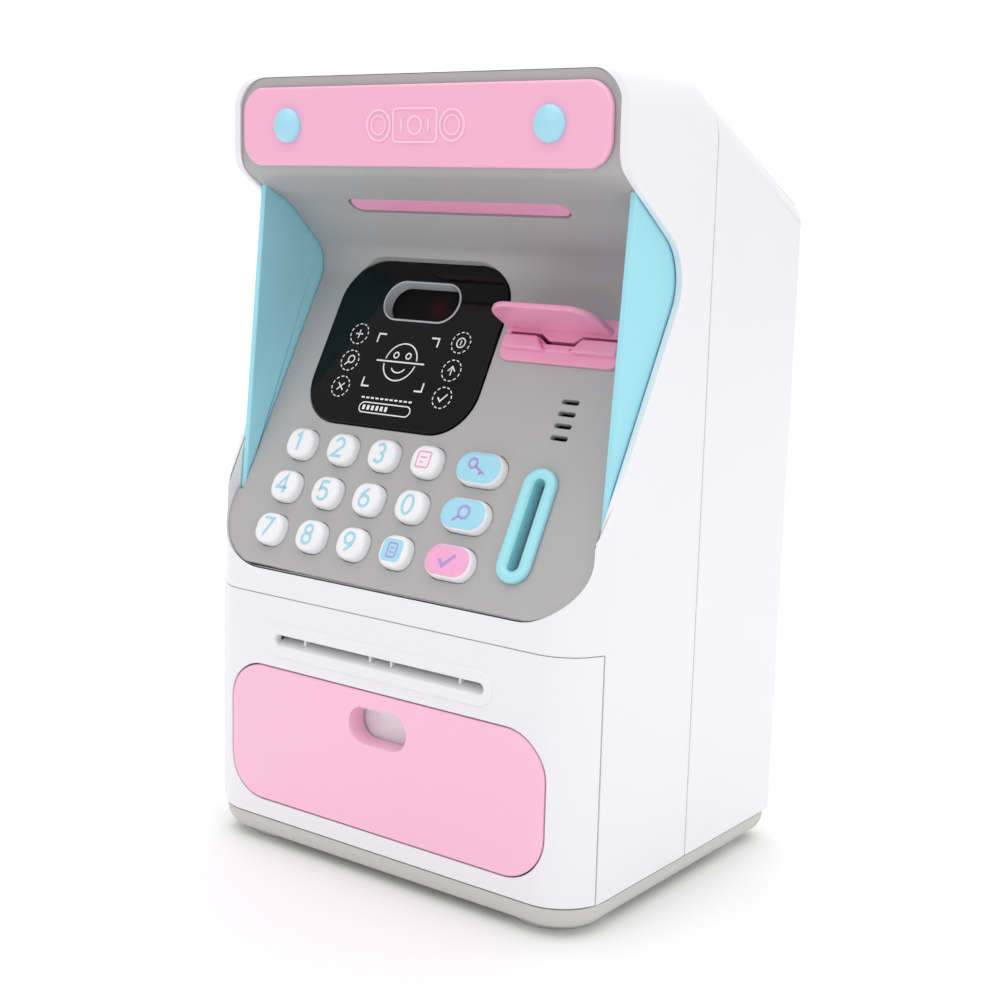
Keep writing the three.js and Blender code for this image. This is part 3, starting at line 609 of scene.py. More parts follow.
def piece(name, mesh, body, materials, replaces=(), smooth=38):
    """Adds a finished piece: scaled to metres, smoothly shaded, riding on its body."""
    mesh.transform(Matrix.Scale(MM, 4))
    mesh.name = name
    shown = new_object(name, mesh)
    chosen = [face.material_index for face in mesh.polygons]
    mesh.materials.clear()
    for material in materials:
        mesh.materials.append(material)
    for face, index in zip(mesh.polygons, chosen):
        face.material_index = index if index < len(materials) else 0
    mesh.shade_smooth()
    mesh.set_sharp_from_angle(angle=math.radians(smooth))
    weighted_normals(shown).use_face_influence = True
    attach(shown, body)
    if replaces:
        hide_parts(*replaces)
    return shown


# ---- Case ----

def case_block(inset, top_inset=None):
    """The case's block before its front is shaped, moved in by inset, and its flat top by top_inset."""
    top = TOP - (inset if top_inset is None else top_inset)
    half = HALF_WIDTH - inset
    front = max(FRONT_CORNER - inset, 0.5)
    rear = max(REAR_CORNER - inset, 0.5)
    plan = outline((
        (-half, FRONT + inset, front), (half, FRONT + inset, front),
        (half, BACK - inset, rear), (-half, BACK - inset, rear)))

    def across(low, high):
        corner = TOP_CORNER - inset
        return outline(((-half, low), (half, low), (half, high, corner), (-half, high, corner)))

    return common(
        prism(plan, BELOW, ABOVE), prism(across(BELOW, top), -120, 120, FACE),
        prism(across(-ABOVE, -inset), -160, 160, CHAMFER_FRAME))


def case_outer():
    rim_foot = FOOT_Z + RIM / SIN
    side = outline((
        (FRONT, CASE_BOTTOM), (BACK, CASE_BOTTOM), (*CHAMFER_END, 6), (*CHAMFER_START, 20),
        *HOOD_RIM, (FRONT, rim_foot, 3)))
    return common(case_block(0), prism(side, -WIDE, WIDE, SIDE))


def case_cavity():
    rim_foot = FOOT_Z + RIM / SIN - WALL / 2
    shelf = FOOT_Z + (OPENING_CORNER + 1) * COS
    front, back = FRONT + WALL, BACK - WALL
    side = outline((
        (front, -10), (back, -10), (back, SKY), (-70, SKY), (-70, shelf),
        (front + (shelf - rim_foot) * math.tan(SLOPE), shelf), (front, rim_foot)))
    opening = slab(0, OPENING_HALF, 2 * (HALF_WIDTH - WALL), 2 * OPENING_HALF, OPENING_CORNER)
    way_in = common(
        prism(opening, -4, 40, PANEL_FRAME), box((-WIDE, WIDE), (-FAR, 0), OPENING_HEIGHTS))
    return join(common(case_block(WALL, TOP_WALL), prism(side, -WIDE, WIDE, SIDE)), way_in)


def near_skin(p):
    """True on the case's own wall, away from its bosses, the hood's thin rim and the door's sides."""
    on_hood_rim = p.z > HEADER_FOOT - 1 and p.y < HEADER_FACE + 1.1
    beside_door = p.z < DOOR_TOP - 0.5 and p.y < -40
    if on_hood_rim or beside_door:
        return False
    on_side = abs(p.x) > HALF_WIDTH - WALL - 0.4
    under_panel = p.z < 100 and p.y < -40
    on_front = p.y < FRONT + WALL + 0.6 or under_panel
    on_back = p.y > BACK - WALL - 0.6
    return on_side or on_front or on_back or p.z > TOP - 3


def case_front(shell):
    body = common(shell, box((-FAR, FAR), (-FAR, SEAM - SEAM_LINE), (0, SKY)))
    door_room = (0, DOOR_TOP + DOOR_LINE)
    body = cut(
        body, box((-FAR, FAR), (-FAR, DOOR_EDGE + DOOR_GAP), door_room),
        box((-FAR, -50), (-60, HINGE[1] + KNUCKLE + GAP), door_room))
    lug = box((HINGE[0] - 1.6, -56), (-48, -40), (DOOR_TOP + DOOR_LINE, DOOR_TOP + 5))
    body = join(body, common(lug, case_block(WALL / 2)))
    body = cut(body, prism(disc(*HINGE, PIN_BORE), 60, DOOR_TOP + 4))
    return soften(body, 0.45, near_skin)


def case_rear(shell):
    body = common(shell, box((-FAR, FAR), (SEAM + SEAM_LINE, FAR), (0, SKY)))
    inside = case_block(WALL / 2)
    for x, z in BOSS_SITES:
        tube = prism(disc(x, z, BOSS), -(BACK - 1), -(SEAM + SEAM_LINE), FACE)
        body = join(body, common(tube, inside))
    for x, z in BOSS_SITES:
        body = cut(
            body, prism(disc(x, z, SCREW_BORE), -20, 0, FACE),
            prism(disc(x, z, SCREW_WELL), -60, -SCREW_SEAT, FACE))
    low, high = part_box("battery_cover")
    height = (high.z - low.z) / MM + 2 * GAP
    width = (high.x - low.x) / MM + 2 * GAP
    cover_room = slab(0, centre_of("battery_cover").z, width, height, 3)
    body = cut(body, prism(cover_room, -60, -45, FACE))
    return soften(body, 0.35, near_skin)


shell = cut(case_outer(), case_cavity())
piece("case_front", case_front(shell), "case", [WHITE], ["front_shell"])
piece("case_rear", case_rear(shell), "case", [WHITE], ["rear_shell"])


def base_plan(inset):
    half = HALF_WIDTH - inset
    front = FRONT_CORNER - inset
    rear = 6.5 - inset / 2
    return outline((
        (-half, FRONT + inset, front), (half, FRONT + inset, front),
        (half, BACK - inset, rear), (-half, BACK - inset, rear)), 14)


def base_body():
    """Tray whose outer wall curves in towards the floor under a short upright rim."""
    rim, upright, lip = CASE_BOTTOM - GAP, 0.5, 0.4
    profile = [(lip, rim)]
    for turn in turn_steps(90, 12):
        height = rim - upright - (rim - upright - BASE_FLOOR) * math.sin(turn)
        profile.append((lip + BASE_TAPER * (1 - math.cos(turn)), height))
    body = moulding(base_plan, profile, PLAN)
    hollow = prism(base_plan(BASE_WALL), BASE_FLOOR + 2.5, 20)
    return cut(body, hollow, prism(disc(*HINGE, PIN_BORE), 5, 20))


piece("base", base_body(), "case", [BASE_GREY], ["base_tray"], smooth=60)

PAD_PROFILE = (
    (0, 0), (11.4, 0), (12.1, 0.12), (12.4, 0.45), (12.5, 0.9), (12.5, PAD_TOP), (0, PAD_TOP))
for corner in ("front_left", "front_right", "rear_left", "rear_right"):
    node = "foot_" + corner
    at = centre_of(node)
    pad = turned(PAD_PROFILE, (at.x, at.y))
    piece("pad_" + corner, pad, "case", [FOOT_RUBBER], [node], 60)


# ---- Front panel, header and wings ----

def panel_surface(depth):
    """Side view of the panel's visible surface, moved back by depth."""
    foot_y, foot_z = panel_point(0, -depth)
    return [
        (foot_y - (foot_z - FOOT_Z) * math.tan(SLOPE), FOOT_Z),
        (PANEL_BEND[0] + depth * 1.28, PANEL_BEND[1] + depth * 0.05, 9 + depth),
        (CEILING_BEND[0] + depth * 0.6, CEILING_BEND[1] + depth * 0.84, 30),
        (HEADER_FACE + depth, HEADER_FOOT + depth * 0.65, max(7 - depth, 1)),
        (HEADER_FACE + depth, TOP - TOP_WALL - FIT)]


def hole(points, deep=-6):
    return prism(points, deep, 12, PANEL_FRAME)


def key_outline(node, grow, steps=None):
    width, height, corner = OVAL_SIZE if node in OVAL_KEYS else KEY_SIZE
    return slab(*on_panel(node), width + 2 * grow, height + 2 * grow, corner + grow, steps)


display_at = on_panel("display_cover")
display_low, display_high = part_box("display_cover")
display_width = (display_high.x - display_low.x) / MM


def display_outline(grow, steps=None):
    return slab(
        *display_at, display_width + 2 * grow, DISPLAY_HEIGHT + 2 * grow, DISPLAY_CORNER + grow, steps)


coin_at = on_panel("coin_slot_bezel")
speaker_at = on_panel("speaker")
reader_x = centre_of("card_reader").x


def panel_trim(half, corner):
    """What lies inside the panel's outline, with its two rounded lower corners."""
    length = 120
    return prism(slab(0, length / 2 + GAP, 2 * half, length, corner), -30, WIDE, PANEL_FRAME)


def panel_layer(low, high):
    """Room round the panel between two heights."""
    return box((-WIDE, WIDE), (-70, 20), (low, high))


def fascia_blank():
    """The bent panel without its holes; between its head and its foot it leaves room for the wings."""
    skin = outline(panel_surface(0) + panel_surface(PANEL)[::-1])
    wide_half = HALF_WIDTH - WALL - FIT
    narrow = prism(skin, -PANEL_HALF, PANEL_HALF, SIDE)
    wide = prism(skin, -wide_half, wide_half, SIDE)
    corner = OPENING_CORNER - (HALF_WIDTH - WALL - PANEL_HALF)
    middle = common(
        narrow, join(panel_trim(PANEL_HALF, corner), panel_layer(OPENING_HEIGHTS[1], SKY)),
        panel_layer(0, HEADER_FOOT))
    foot = common(
        wide, panel_trim(wide_half, OPENING_CORNER - FIT), panel_layer(0, WING_FRONT[0][1] - GAP))
    head_top = TOP - TOP_WALL - FIT
    head_trim = slab(0, head_top - 40, 2 * wide_half, 80, TOP_CORNER - WALL)
    head = common(
        wide, prism(head_trim, -10, WIDE, FACE), panel_layer(WING_FRONT[1][1] - 1.5, SKY))
    return join(middle, head, foot)


def fascia():
    holes = [hole(key_outline(node, GAP / 2)) for row in KEY_NAMES for node in row]
    holes.append(hole(pill(*coin_at, COIN_PILL[0] - 2, COIN_PILL[1] - 2)))
    for k in (-1.5, -0.5, 0.5, 1.5):
        holes.append(hole(slab(speaker_at[0], speaker_at[1] + k * SPEAKER_PITCH, *SPEAKER_SLOT, 0.6)))
    holes.append(hole(slab(reader_x, READER["slot"] - 1, 2 * READER["half"] - 4, 9, 1.5)))
    body = cut(
        fascia_blank(), together(*holes), hole(display_outline(GAP), DISPLAY_SEAT),
        hole(pill(WINDOW["x"], WINDOW["s"], WINDOW["width"] + 2, WINDOW["height"] + 2)),
        prism(pill(0, 0, LAMP["length"], LAMP["width"]), -8, 8, LAMP_FRAME))
    return soften(body, 0.28, angle=40, steps=2, merge=0.15)


piece("front_panel", fascia(), "case", [GREY], ["fascia_panel"])


def crowned(ring, low, high, edge, place, crown=0.0):
    """Solid with a rounded far edge: ring(inset) gives an outline with a fixed number of points."""
    profile = [(0, low), (0, high - edge)]
    for turn in turn_steps(90, 6, 1):
        profile.append((edge * (1 - math.cos(turn)), high - edge + edge * math.sin(turn)))
    if crown:
        profile.append((2.4 * edge, high + crown))
    return moulding(ring, profile, place)


header_low, header_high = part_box("header_plate")
header_z = centre_of("header_plate").z
header_height = (header_high.z - header_low.z) / MM
header_face = -header_low.y / MM


def header_ring(inset):
    return slab(0, header_z, 2 * (PANEL_HALF - inset), header_height - 2 * inset, 7 - inset, 12)


sign_board = crowned(header_ring, -HEADER_FACE + GAP, header_face, 0.9, FACE)
piece("header_sign", sign_board, "case", [HEADER_PINK], ["header_plate"], 50)


def header_emblem():
    """A banknote between two coins, in raised outline."""
    x, z = 1.2, 201.2

    def line(points, width=0.55, closed=True):
        return ribbon(points, width, header_face - 0.1, header_face + 0.3, FACE, closed)

    lines = [line(slab(x, z, 14.4, 8.4, 1.2, 4)), line(arc(x, z, 2.2)[:-1])]
    for sign in (-1, 1):
        coin = (x + sign * 12.1, z)
        bar = x + sign * 4.4
        lines.append(line(arc(*coin, 3.9, sides=32)[:-1]))
        lines.append(line(arc(*coin, 2.4, sides=28)[:-1], 0.4))
        lines.append(line([(bar, z - 1.6), (bar, z + 1.6)], closed=False))
    return together(*lines)


# Raised emblem lines in a paler pink: a painted highlight, not a colour of their own.
piece("header_emblem", header_emblem(), "case", [EMBLEM_PAINTED_HIGHLIGHT])

STUD_RADIUS = 4.6
STUD_WALL = 0.5  # upright start of the dome


def stud(node):
    """Dome with a short upright wall, set a little into the header plate."""
    top, wall_top, foot = -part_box(node)[0].y / MM, header_face + STUD_WALL, header_face - 0.4
    profile = [(0, foot), (STUD_RADIUS, foot), (STUD_RADIUS, wall_top)]
    for turn in turn_steps(90, 12, 1)[:-1]:
        height = wall_top + (top - wall_top) * math.sin(turn)
        profile.append((STUD_RADIUS * math.cos(turn), height))
    profile.append((0, top))
    at = centre_of(node)
    return turned(profile, (at.x, at.z), FACE)


for side in ("left", "right"):
    node = "header_stud_" + side
    piece("stud_" + side, stud(node), "case", [STUD_BLUE], [node], 60)


def wing(sign):
    behind = 1.6
    foot = panel_point((WING_FRONT[0][1] - FOOT_Z) / COS, -behind)
    side = outline((
        (*WING_FRONT[0], 0.8), (*WING_FRONT[1], 0.8), (CEILING_BEND[0] + 1, CEILING_BEND[1] + 1.6, 10),
        (PANEL_BEND[0] + behind, PANEL_BEND[1], 9), foot))
    low, high = sorted((sign * WING_X[0], sign * WING_X[1]))
    return soften(prism(side, low, high, SIDE), 0.45)


piece("wing_panel_left", wing(-1), "case", [WING_BLUE], ["wing_left"])
piece("wing_panel_right", wing(1), "case", [WING_BLUE], ["wing_right"])


def lamp_ring(inset):
    shrink = 2 * (GAP + inset)
    return pill(0, 0, LAMP["length"] - shrink, LAMP["width"] - shrink, 12)


lens = crowned(lamp_ring, -5, 0.1, 0.5, LAMP_FRAME, 0.1)
piece("ceiling_lamp", lens, "case", [LENS_PINK], ["ceiling_lamp_lens"], 60)


# ---- Display ----

def window_outline(shrink):
    width, height = WINDOW["width"] - 2 * shrink, WINDOW["height"] - 2 * shrink
    return pill(WINDOW["x"], WINDOW["s"], width, height, 16)


def display_body():
    body = crowned(lambda inset: display_outline(-inset, 14), -0.9, DISPLAY_RISE, 0.5, PANEL_FRAME)
    return cut(body, hole(window_outline(1.2)))


piece("display_glass", display_body(), "case", [DISPLAY_BLACK], ["display_cover"], 50)


def window_rim():
    """Thin bright edge round the sensor's recess, and the recess's smooth wall."""
    crest = DISPLAY_RISE + 0.05
    profile = [(1.5, -0.7), (0.9, -0.4), (0.9, crest)]
    for turn in turn_steps(180, 6):
        profile.append((1.2 - 0.25 * math.cos(turn), crest + 0.2 * math.sin(turn)))
    profile += [(1.9, -2.3), (1.7, -2.3)]
    return moulding(window_outline, profile, PANEL_FRAME, around=True)


piece("window_collar", window_rim(), "case", [WINDOW_RIM], smooth=50)

glow_at = PANEL_FRAME @ Vector((WINDOW["x"] + 4.5, WINDOW["s"] - 0.4, -2)) * MM
SENSOR_FILTER = sensor_glow("sensor_filter", glow_at, 5.2 * MM)
sensor = crowned(lambda inset: window_outline(1.2 + inset), -5, -2.2, 0.6, PANEL_FRAME, 0.3)
piece("sensor_window", sensor, "case", [SENSOR_FILTER], ["face_sensor"], 60)


def ink(points, width, closed=False):
    return ribbon(points, width, ART_LOW, ART_HIGH, PANEL_FRAME, closed)


def dashed_ring(x, s):
    dashes = 12
    starts = [360 * k / dashes for k in range(dashes)]
    return [ink(arc(x, s, 3.1, start, start + 210 / dashes, 3), 0.3) for start in starts]


def face_art(x, s):
    """A plain face with a scan line, in corner brackets."""
    lines = [
        ink(arc(x, s, 5.6, 8, 172, 24), 0.4), ink(arc(x, s, 5.6, 188, 352, 24), 0.4),
        ink([(x - 8.6, s), (x + 8.6, s)], 0.45), ink(arc(x, s - 0.3, 2.9, 215, 325, 12), 0.4)]
    for sign in (-1, 1):
        lines.append(ink(arc(x + sign * 2.2, s + 2, 0.85, sides=16)[:-1], 0.4, True))
        for up in (-1, 1):
            a, b = x + sign * 10.8, s + up * 8
            lines.append(ink([(a - sign * 2.6, b), (a, b), (a, b - up * 2.6)], 0.5))
    return lines


def stroke(width, *points):
    """An open line of an icon, round the icon's own centre."""
    return points, width, False


def ring_line(width, points):
    return points, width, True


def draw_icon(pen, icon, x, s):
    return [pen([(x + a, s + b) for a, b in points], width, closed) for points, width, closed in icon]


PLUS = [stroke(0.36, (-1.3, 0), (1.3, 0)), stroke(0.36, (0, -1.3), (0, 1.3))]
LENS = [ring_line(0.36, arc(0.4, 0.4, 1.1, sides=16)[:-1]), stroke(0.4, (-0.5, -0.5), (-1.5, -1.5))]
CROSS = [stroke(0.36, (-1.1, -1.1), (1.1, 1.1)), stroke(0.36, (-1.1, 1.1), (1.1, -1.1))]
COIN = [ring_line(0.36, arc(0, 0, 1.4, sides=18)[:-1]), stroke(0.36, (0, -0.7), (0, 0.7))]
ARROW = [stroke(0.36, (-1.2, -0.2), (0, 1.2), (1.2, -0.2)), stroke(0.36, (0, 0.8), (0, -1.4))]
CHECK = [stroke(0.42, (-1.4, 0), (-0.4, -1.1), (1.5, 1.1))]
ICON_COLUMNS = {-37.4: (PLUS, LENS, CROSS), -0.7: (COIN, ARROW, CHECK)}
ICON_ROWS = (72, 63.7, 55.6)


def display_art():
    """Printed line art: a face, six icons in dashed rings, a row of dashes and a progress bar."""
    lines = face_art(-19.2, 64.6)
    for x, icons in ICON_COLUMNS.items():
        for s, icon in zip(ICON_ROWS, icons):
            lines.extend(dashed_ring(x, s) + draw_icon(ink, icon, x, s))
    for k in range(11):
        dash = -28.4 + 1.7 * k
        lines.append(ink([(dash, 53.2), (dash + 1.1, 53.2)], 0.5))
    lines.append(ink(pill(-18.9, 50.3, 18.2, 3, 8), 0.34, True))
    for k in range(6):
        bar = -26.4 + 1.6 * k
        lines.append(ink([(bar, 49.6), (bar, 51)], 0.9))
    return together(*lines)


piece("display_artwork", display_art(), "case", [INK_WHITE])


# ---- Card reader, coin slot and speaker ----

def reader_plate():
    half, low, high, top = (READER[k] for k in ("half", "low", "high", "thickness"))
    plate = prism(slab(reader_x, (low + high) / 2, 2 * half, high - low, 3), GAP, top, PANEL_FRAME)
    return soften(plate, 0.5, lambda p: (PANEL_FRAME.inverted() @ p).z > top - 0.2)


def reader_lips():
    """Two raised lips with slanted inner ends, and a lower lip between them."""
    foot, top, notch, rise = (READER_LIP[k] for k in ("low", "high", "notch", "rise"))
    x, plate_top = reader_x, READER["thickness"]
    left, right = x - READER["half"] + 0.8, x + READER["half"] - 0.8
    lip_left = outline(((left, foot, 1), (x - 4, foot), (x - 7.6, top, 0.8), (left, top, 1.4)))
    lip_right = outline(((x + 3.5, foot), (right, foot, 1), (right, top, 1.4), (x + 6.7, top, 0.8)))
    lip_middle = slab(x, (foot + notch) / 2, 16, notch - foot)
    lips = join(
        prism(lip_left, plate_top / 2, rise, PANEL_FRAME),
        prism(lip_right, plate_top / 2, rise, PANEL_FRAME),
        prism(lip_middle, plate_top / 2, 1.7, PANEL_FRAME))
    return soften(lips, 0.7, lambda p: (PANEL_FRAME.inverted() @ p).z > plate_top)


def reader_hood():
    """Level tongue over the mouth, with two round corners."""
    start, end, reach, corner = (HOOD[k] for k in ("from", "to", "reach", "corner"))
    overhang = outline(((start, 0), (end, 0), (end, reach, corner), (start, reach, corner)))
    place = frame_of((1, 0, 0), (0, -COS, SIN), (0, *panel_point(HOOD["low"])))
    hood = soften(prism(overhang, -HOOD["thickness"], 0, place), 0.55)
    above_plate = slab(reader_x, READER["slot"], 80, 20)
    return common(hood, prism(above_plate, READER["thickness"] / 2, 40, PANEL_FRAME))


def reader_slot():
    """The mouth's opening, which dips between the lips."""
    low, high, dip = READER_LIP["high"], READER["slot"], READER_LIP["notch"]
    points = [
        (-17, low), (-7.4, low), (-4.6, dip + 0.2), (4.2, dip + 0.2), (6.5, low), (17, low),
        (17, high), (6.1, high), (3.7, dip + 1.2), (-4.1, dip + 1.2), (-7, high), (-17, high)]
    return prism([(reader_x + a, s) for a, s in points], -14, 8, PANEL_FRAME)


def card_mouth():
    guide = slab(reader_x, READER["slot"] - 1, 2 * READER["half"] - 5, 8.2, 1)
    guide = prism(guide, -16, READER["thickness"] - 0.2, PANEL_FRAME)
    return cut(join(reader_plate(), reader_lips(), guide, reader_hood()), reader_slot())


piece("card_mouth", card_mouth(), "case", [READER_PINK], ["card_reader"])


def coin_ring(inset):
    width, length = (size - 2 * inset for size in COIN_PILL)
    return pill(*coin_at, width, length, 16)


def coin_bezel():
    """Raised pill with a rounded rim and a hollow that leads into the slot."""
    shoulder, crest, rim_half = 1.1, 0.9, 1.55
    profile = [(1.3, -2.8), (1.3, GAP), (0, GAP), (0, shoulder)]
    for turn in turn_steps(180, 10, 1):
        profile.append((rim_half - rim_half * math.cos(turn), shoulder + crest * math.sin(turn)))
    body = moulding(coin_ring, profile, PANEL_FRAME)
    return cut(body, hole(slab(*coin_at, *COIN_OPENING, 1.6)))


piece("coin_bezel", coin_bezel(), "case", [COIN_CYAN], ["coin_slot_bezel"], 50)


# ---- Keys ----

def key_cap(node):
    """Cap with strongly rounded edges; the print covers its flat top and the start of the rounding."""
    profile = [(0, -5), (0, 0.4)]
    for turn in turn_steps(90, 8):
        height = KEY_RISE - KEY_ROUND * (1 - math.sin(turn))
        profile.append((0.15 + KEY_ROUND * (1 - math.cos(turn)), height))
    mesh = moulding(lambda inset: key_outline(node, -inset, 8), profile, PANEL_FRAME)
    printed_from = KEY_RISE - 0.28 * KEY_ROUND
    for face in mesh.polygons:
        height = (PANEL_FRAME.inverted() @ face.center).z
        face.material_index = 1 if height > printed_from else 0
    return mesh


# Pen strokes of the digits, 6 units tall, round their own centres.
DIGITS = {
    "0": [[(0.95 * a, 1.5 * b) for a, b in arc(0, 0, 2)[:-1]]],
    "1": [[(-1.1, 1.8), (0.4, 3), (0.4, -3)]],
    "2": [arc(0, 1.3, 1.7, 165, -35, 14) + [(-1.9, -3), (1.9, -3)]],
    "3": [arc(-0.1, 1.5, 1.5, 150, -85, 14), arc(-0.1, -1.4, 1.65, 85, -155, 14)],
    "4": [[(1, -3), (1, 3), (-2, -1.2), (2.1, -1.2)]],
    "5": [[(1.6, 3), (-1.3, 3), (-1.5, 0.3)] + arc(-0.1, -1.1, 1.95, 128, -150, 16)],
    "6": [arc(0.1, -1.2, 1.8, 180, 540, 24), [(-1.7, -1.2), (-1.3, 0.9), (0.9, 3)]],
    "7": [[(-1.9, 3), (1.9, 3), (-0.8, -3)]],
    "8": [arc(0, 1.55, 1.45, 0, 360, 20), arc(0, -1.4, 1.7, 0, 360, 22)],
    "9": [arc(-0.1, 1.2, 1.8, 0, 360, 24), [(1.7, 1.2), (1.3, -0.9), (-0.9, -3)]],
}


def mark(points, width, closed=False, lift=0.0):
    return ribbon(points, width, KEY_LOW, KEY_HIGH + lift, PANEL_FRAME, closed)


def digit_mark(digit, x, s):
    """A digit's strokes, each a little higher than the last so that no two tops coincide."""
    scale = DIGIT_HEIGHT / 6
    strokes = []
    for k, line in enumerate(DIGITS[digit]):
        points = [(x + scale * a, s + scale * b) for a, b in line]
        strokes.append(mark(points, 0.85, digit == "0", 0.01 * k))
    return strokes


def menu_patch(x, s):
    return prism(slab(x, s, 6.6, 6.2, 1.6, 5), KEY_LOW, KEY_RISE + 0.02, PANEL_FRAME)


CARD_ICON = [
    ring_line(0.5, slab(0, 0, 4.2, 4.4, 0.6, 3)), stroke(0.5, (-1.1, 0.6), (1.1, 0.6)),
    stroke(0.5, (-1.1, -0.8), (0.2, -0.8))]
KEY_ICON = [
    ring_line(0.7, arc(-1.7, 0.9, 1.3, sides=18)[:-1]), stroke(0.7, (-0.7, 0.2), (2.6, -1.7)),
    stroke(0.6, (1.5, -1.1), (0.9, -2.0))]
GLASS_ICON = [
    ring_line(0.65, arc(0.5, 0.4, 1.7, sides=20)[:-1]), stroke(0.7, (-0.8, -0.8), (-2.5, -2.3))]
LIST_ICON = [
    ring_line(0.45, slab(0, 0, 2.8, 3.8, 0.5, 3)), stroke(0.4, (-0.7, 0.6), (0.7, 0.6)),
    stroke(0.4, (-0.7, -0.6), (0.7, -0.6))]
CHECK_ICON = [stroke(0.95, (-2.3, 0.1), (-0.7, -1.6), (2.5, 1.7))]
KEY_PRINTS = {
    "key_card": (CARD_ICON, KEY_WHITE, INK_PINK),
    "key_pass": (KEY_ICON, TOP_BLUE, INK_PURPLE),
    "key_search": (GLASS_ICON, TOP_BLUE, INK_PURPLE),
    "key_menu": (LIST_ICON, KEY_WHITE, INK_PURPLE),
    "key_accept": (CHECK_ICON, TOP_PINK, INK_PURPLE),
}

for row in KEY_NAMES:
    for node in row:
        label = node[4:]
        icon, top, print_ink = KEY_PRINTS.get(node, (None, KEY_WHITE, INK_BLUE))
        piece("cap_" + label, key_cap(node), node, [KEY_WHITE, top], [node], 60)
        at = on_panel(node)
        strokes = draw_icon(mark, icon, *at) if icon else digit_mark(label, *at)
        piece("legend_" + label, together(*strokes), node, [print_ink])
        if node == "key_menu":
            piece("patch_menu", menu_patch(*at), node, [TOP_BLUE])


# ---- Door and drawer ----

def front_skin(outside, inside):
    return cut(case_block(outside), case_block(inside))


def drawer_outline(grow):
    middle = (DRAWER["low"] + DRAWER["high"]) / 2
    height = DRAWER["high"] - DRAWER["low"]
    return slab(0, middle, 2 * (DRAWER["half"] + grow), height + 2 * grow, DRAWER["corner"] + grow)


def door_wall(low):
    wall = common(front_skin(0, WALL), box((-FAR, FAR), (-FAR, DOOR_EDGE), (low, DOOR_TOP)))
    wall = join(wall, prism(disc(*HINGE, KNUCKLE), low, DOOR_TOP))
    wall = cut(wall, prism(drawer_outline(0.4), *FRONT_WALL, FACE))
    return soften(wall, 0.3, lambda p: p.y < DOOR_EDGE - 0.5 and p.x > HINGE[0] + 1.6)


def note_frame():
    """Raised pill with rounded edges round the note slot."""
    width, height, rise = NOTE_FRAME
    edge, sunk = 0.5, 0.05

    def ring(inset):
        return pill(NOTE_X, NOTE_Z, width - 2 * inset, height - 2 * inset, 14)

    profile = [(0, -FRONT - 1)]
    for turn in turn_steps(90, 5):
        out = -FRONT - sunk + (rise + sunk) * math.sin(turn)
        profile.append((edge * (1 - math.cos(turn)), out))
    return moulding(ring, profile, FACE)


def note_opening():
    """Cutter of the note slot, with a flared mouth."""
    crest = NOTE_FRAME[2] - FRONT

    def ring(grow):
        width, height = (size + 2 * grow for size in NOTE_SLOT)
        return slab(NOTE_X, NOTE_Z, width, height, 1.3 + grow, 6)

    flare = ((0, -FRONT - 12), (0, crest - 0.9), (0.15, crest - 0.4), (0.5, crest - 0.02), (0.55, crest + 3))
    return moulding(ring, flare, FACE)


def note_ledge():
    """Lower lip of the note slot, which slopes up inwards."""
    foot = NOTE_Z - NOTE_SLOT[1] / 2
    front, back = FRONT + 0.5, FRONT + NOTE_LEDGE
    half = NOTE_SLOT[0] / 2 - 0.1
    side = [(front, foot - 0.4), (back, foot - 0.4), (back, NOTE_Z + 0.2), (front, foot)]
    return prism(side, NOTE_X - half, NOTE_X + half, SIDE)


def drawer_rail(sign):
    """Angle that the drawer's tray slides on, with its fixing to the front wall."""
    def across(first, last):
        return sorted((sign * first, sign * last))

    upright = box(across(50.6, 53.2), RAIL_DEPTHS, (RAIL_FOOT, 20))
    ledge = box(across(46, 53.2), RAIL_DEPTHS, (RAIL_FOOT, 15.6))
    fixing = box(across(50.6, 62), (RAIL_DEPTHS[0], -44), (RAIL_FOOT, 20))
    return join(upright, ledge, fixing)


def door_body():
    low = CASE_BOTTOM + DOOR_LINE
    inside = case_block(WALL / 2)
    body = join(door_wall(low), note_frame())
    for sign in (-1, 1):
        body = join(body, common(drawer_rail(sign), inside))
    catch = box(
        (CATCH[0] - CATCH_HALF, CATCH[0] + CATCH_HALF), (FRONT + 1.5, CATCH[1] + CATCH_HALF), (57.6, 60))
    body = join(body, common(catch, inside))
    body = cut(
        body, note_opening(), prism(disc(*CATCH, CATCH_BORE), 50, 70), prism(disc(*HINGE, PIN_BORE), 0, 15),
        prism(disc(*HINGE, PIN_BORE), 69, 80))
    return join(body, note_ledge())


piece("safe_door", door_body(), "door", [WHITE], ["door_panel"])

ribs = []
for x in NOTE_RIBS:
    rib = box((x - 0.35, x + 0.35), (FRONT + 1.4, FRONT + 3.4), (NOTE_Z - 0.6, NOTE_Z + 1.7))
    ribs.append(soften(rib, 0.12))
piece("note_slot_ribs", together(*ribs), "door", [WHITE])


def drawer_face():
    body = common(front_skin(0, WALL - GAP), prism(drawer_outline(0), *FRONT_WALL, FACE))
    z, width, height = FINGER_HOLE
    collar = prism(pill(0, z, width + 3, height + 3), 45.6, -FRONT - 1, FACE)
    body = cut(join(body, collar), prism(pill(0, z, width, height), *FRONT_WALL, FACE))
    return soften(body, 0.4, lambda p: p.y < FRONT + 0.5)


piece("drawer_face", drawer_face(), "drawer", [DRAWER_PINK], ["drawer_front"])


# ---- CAD nodes that stay, with their own materials ----

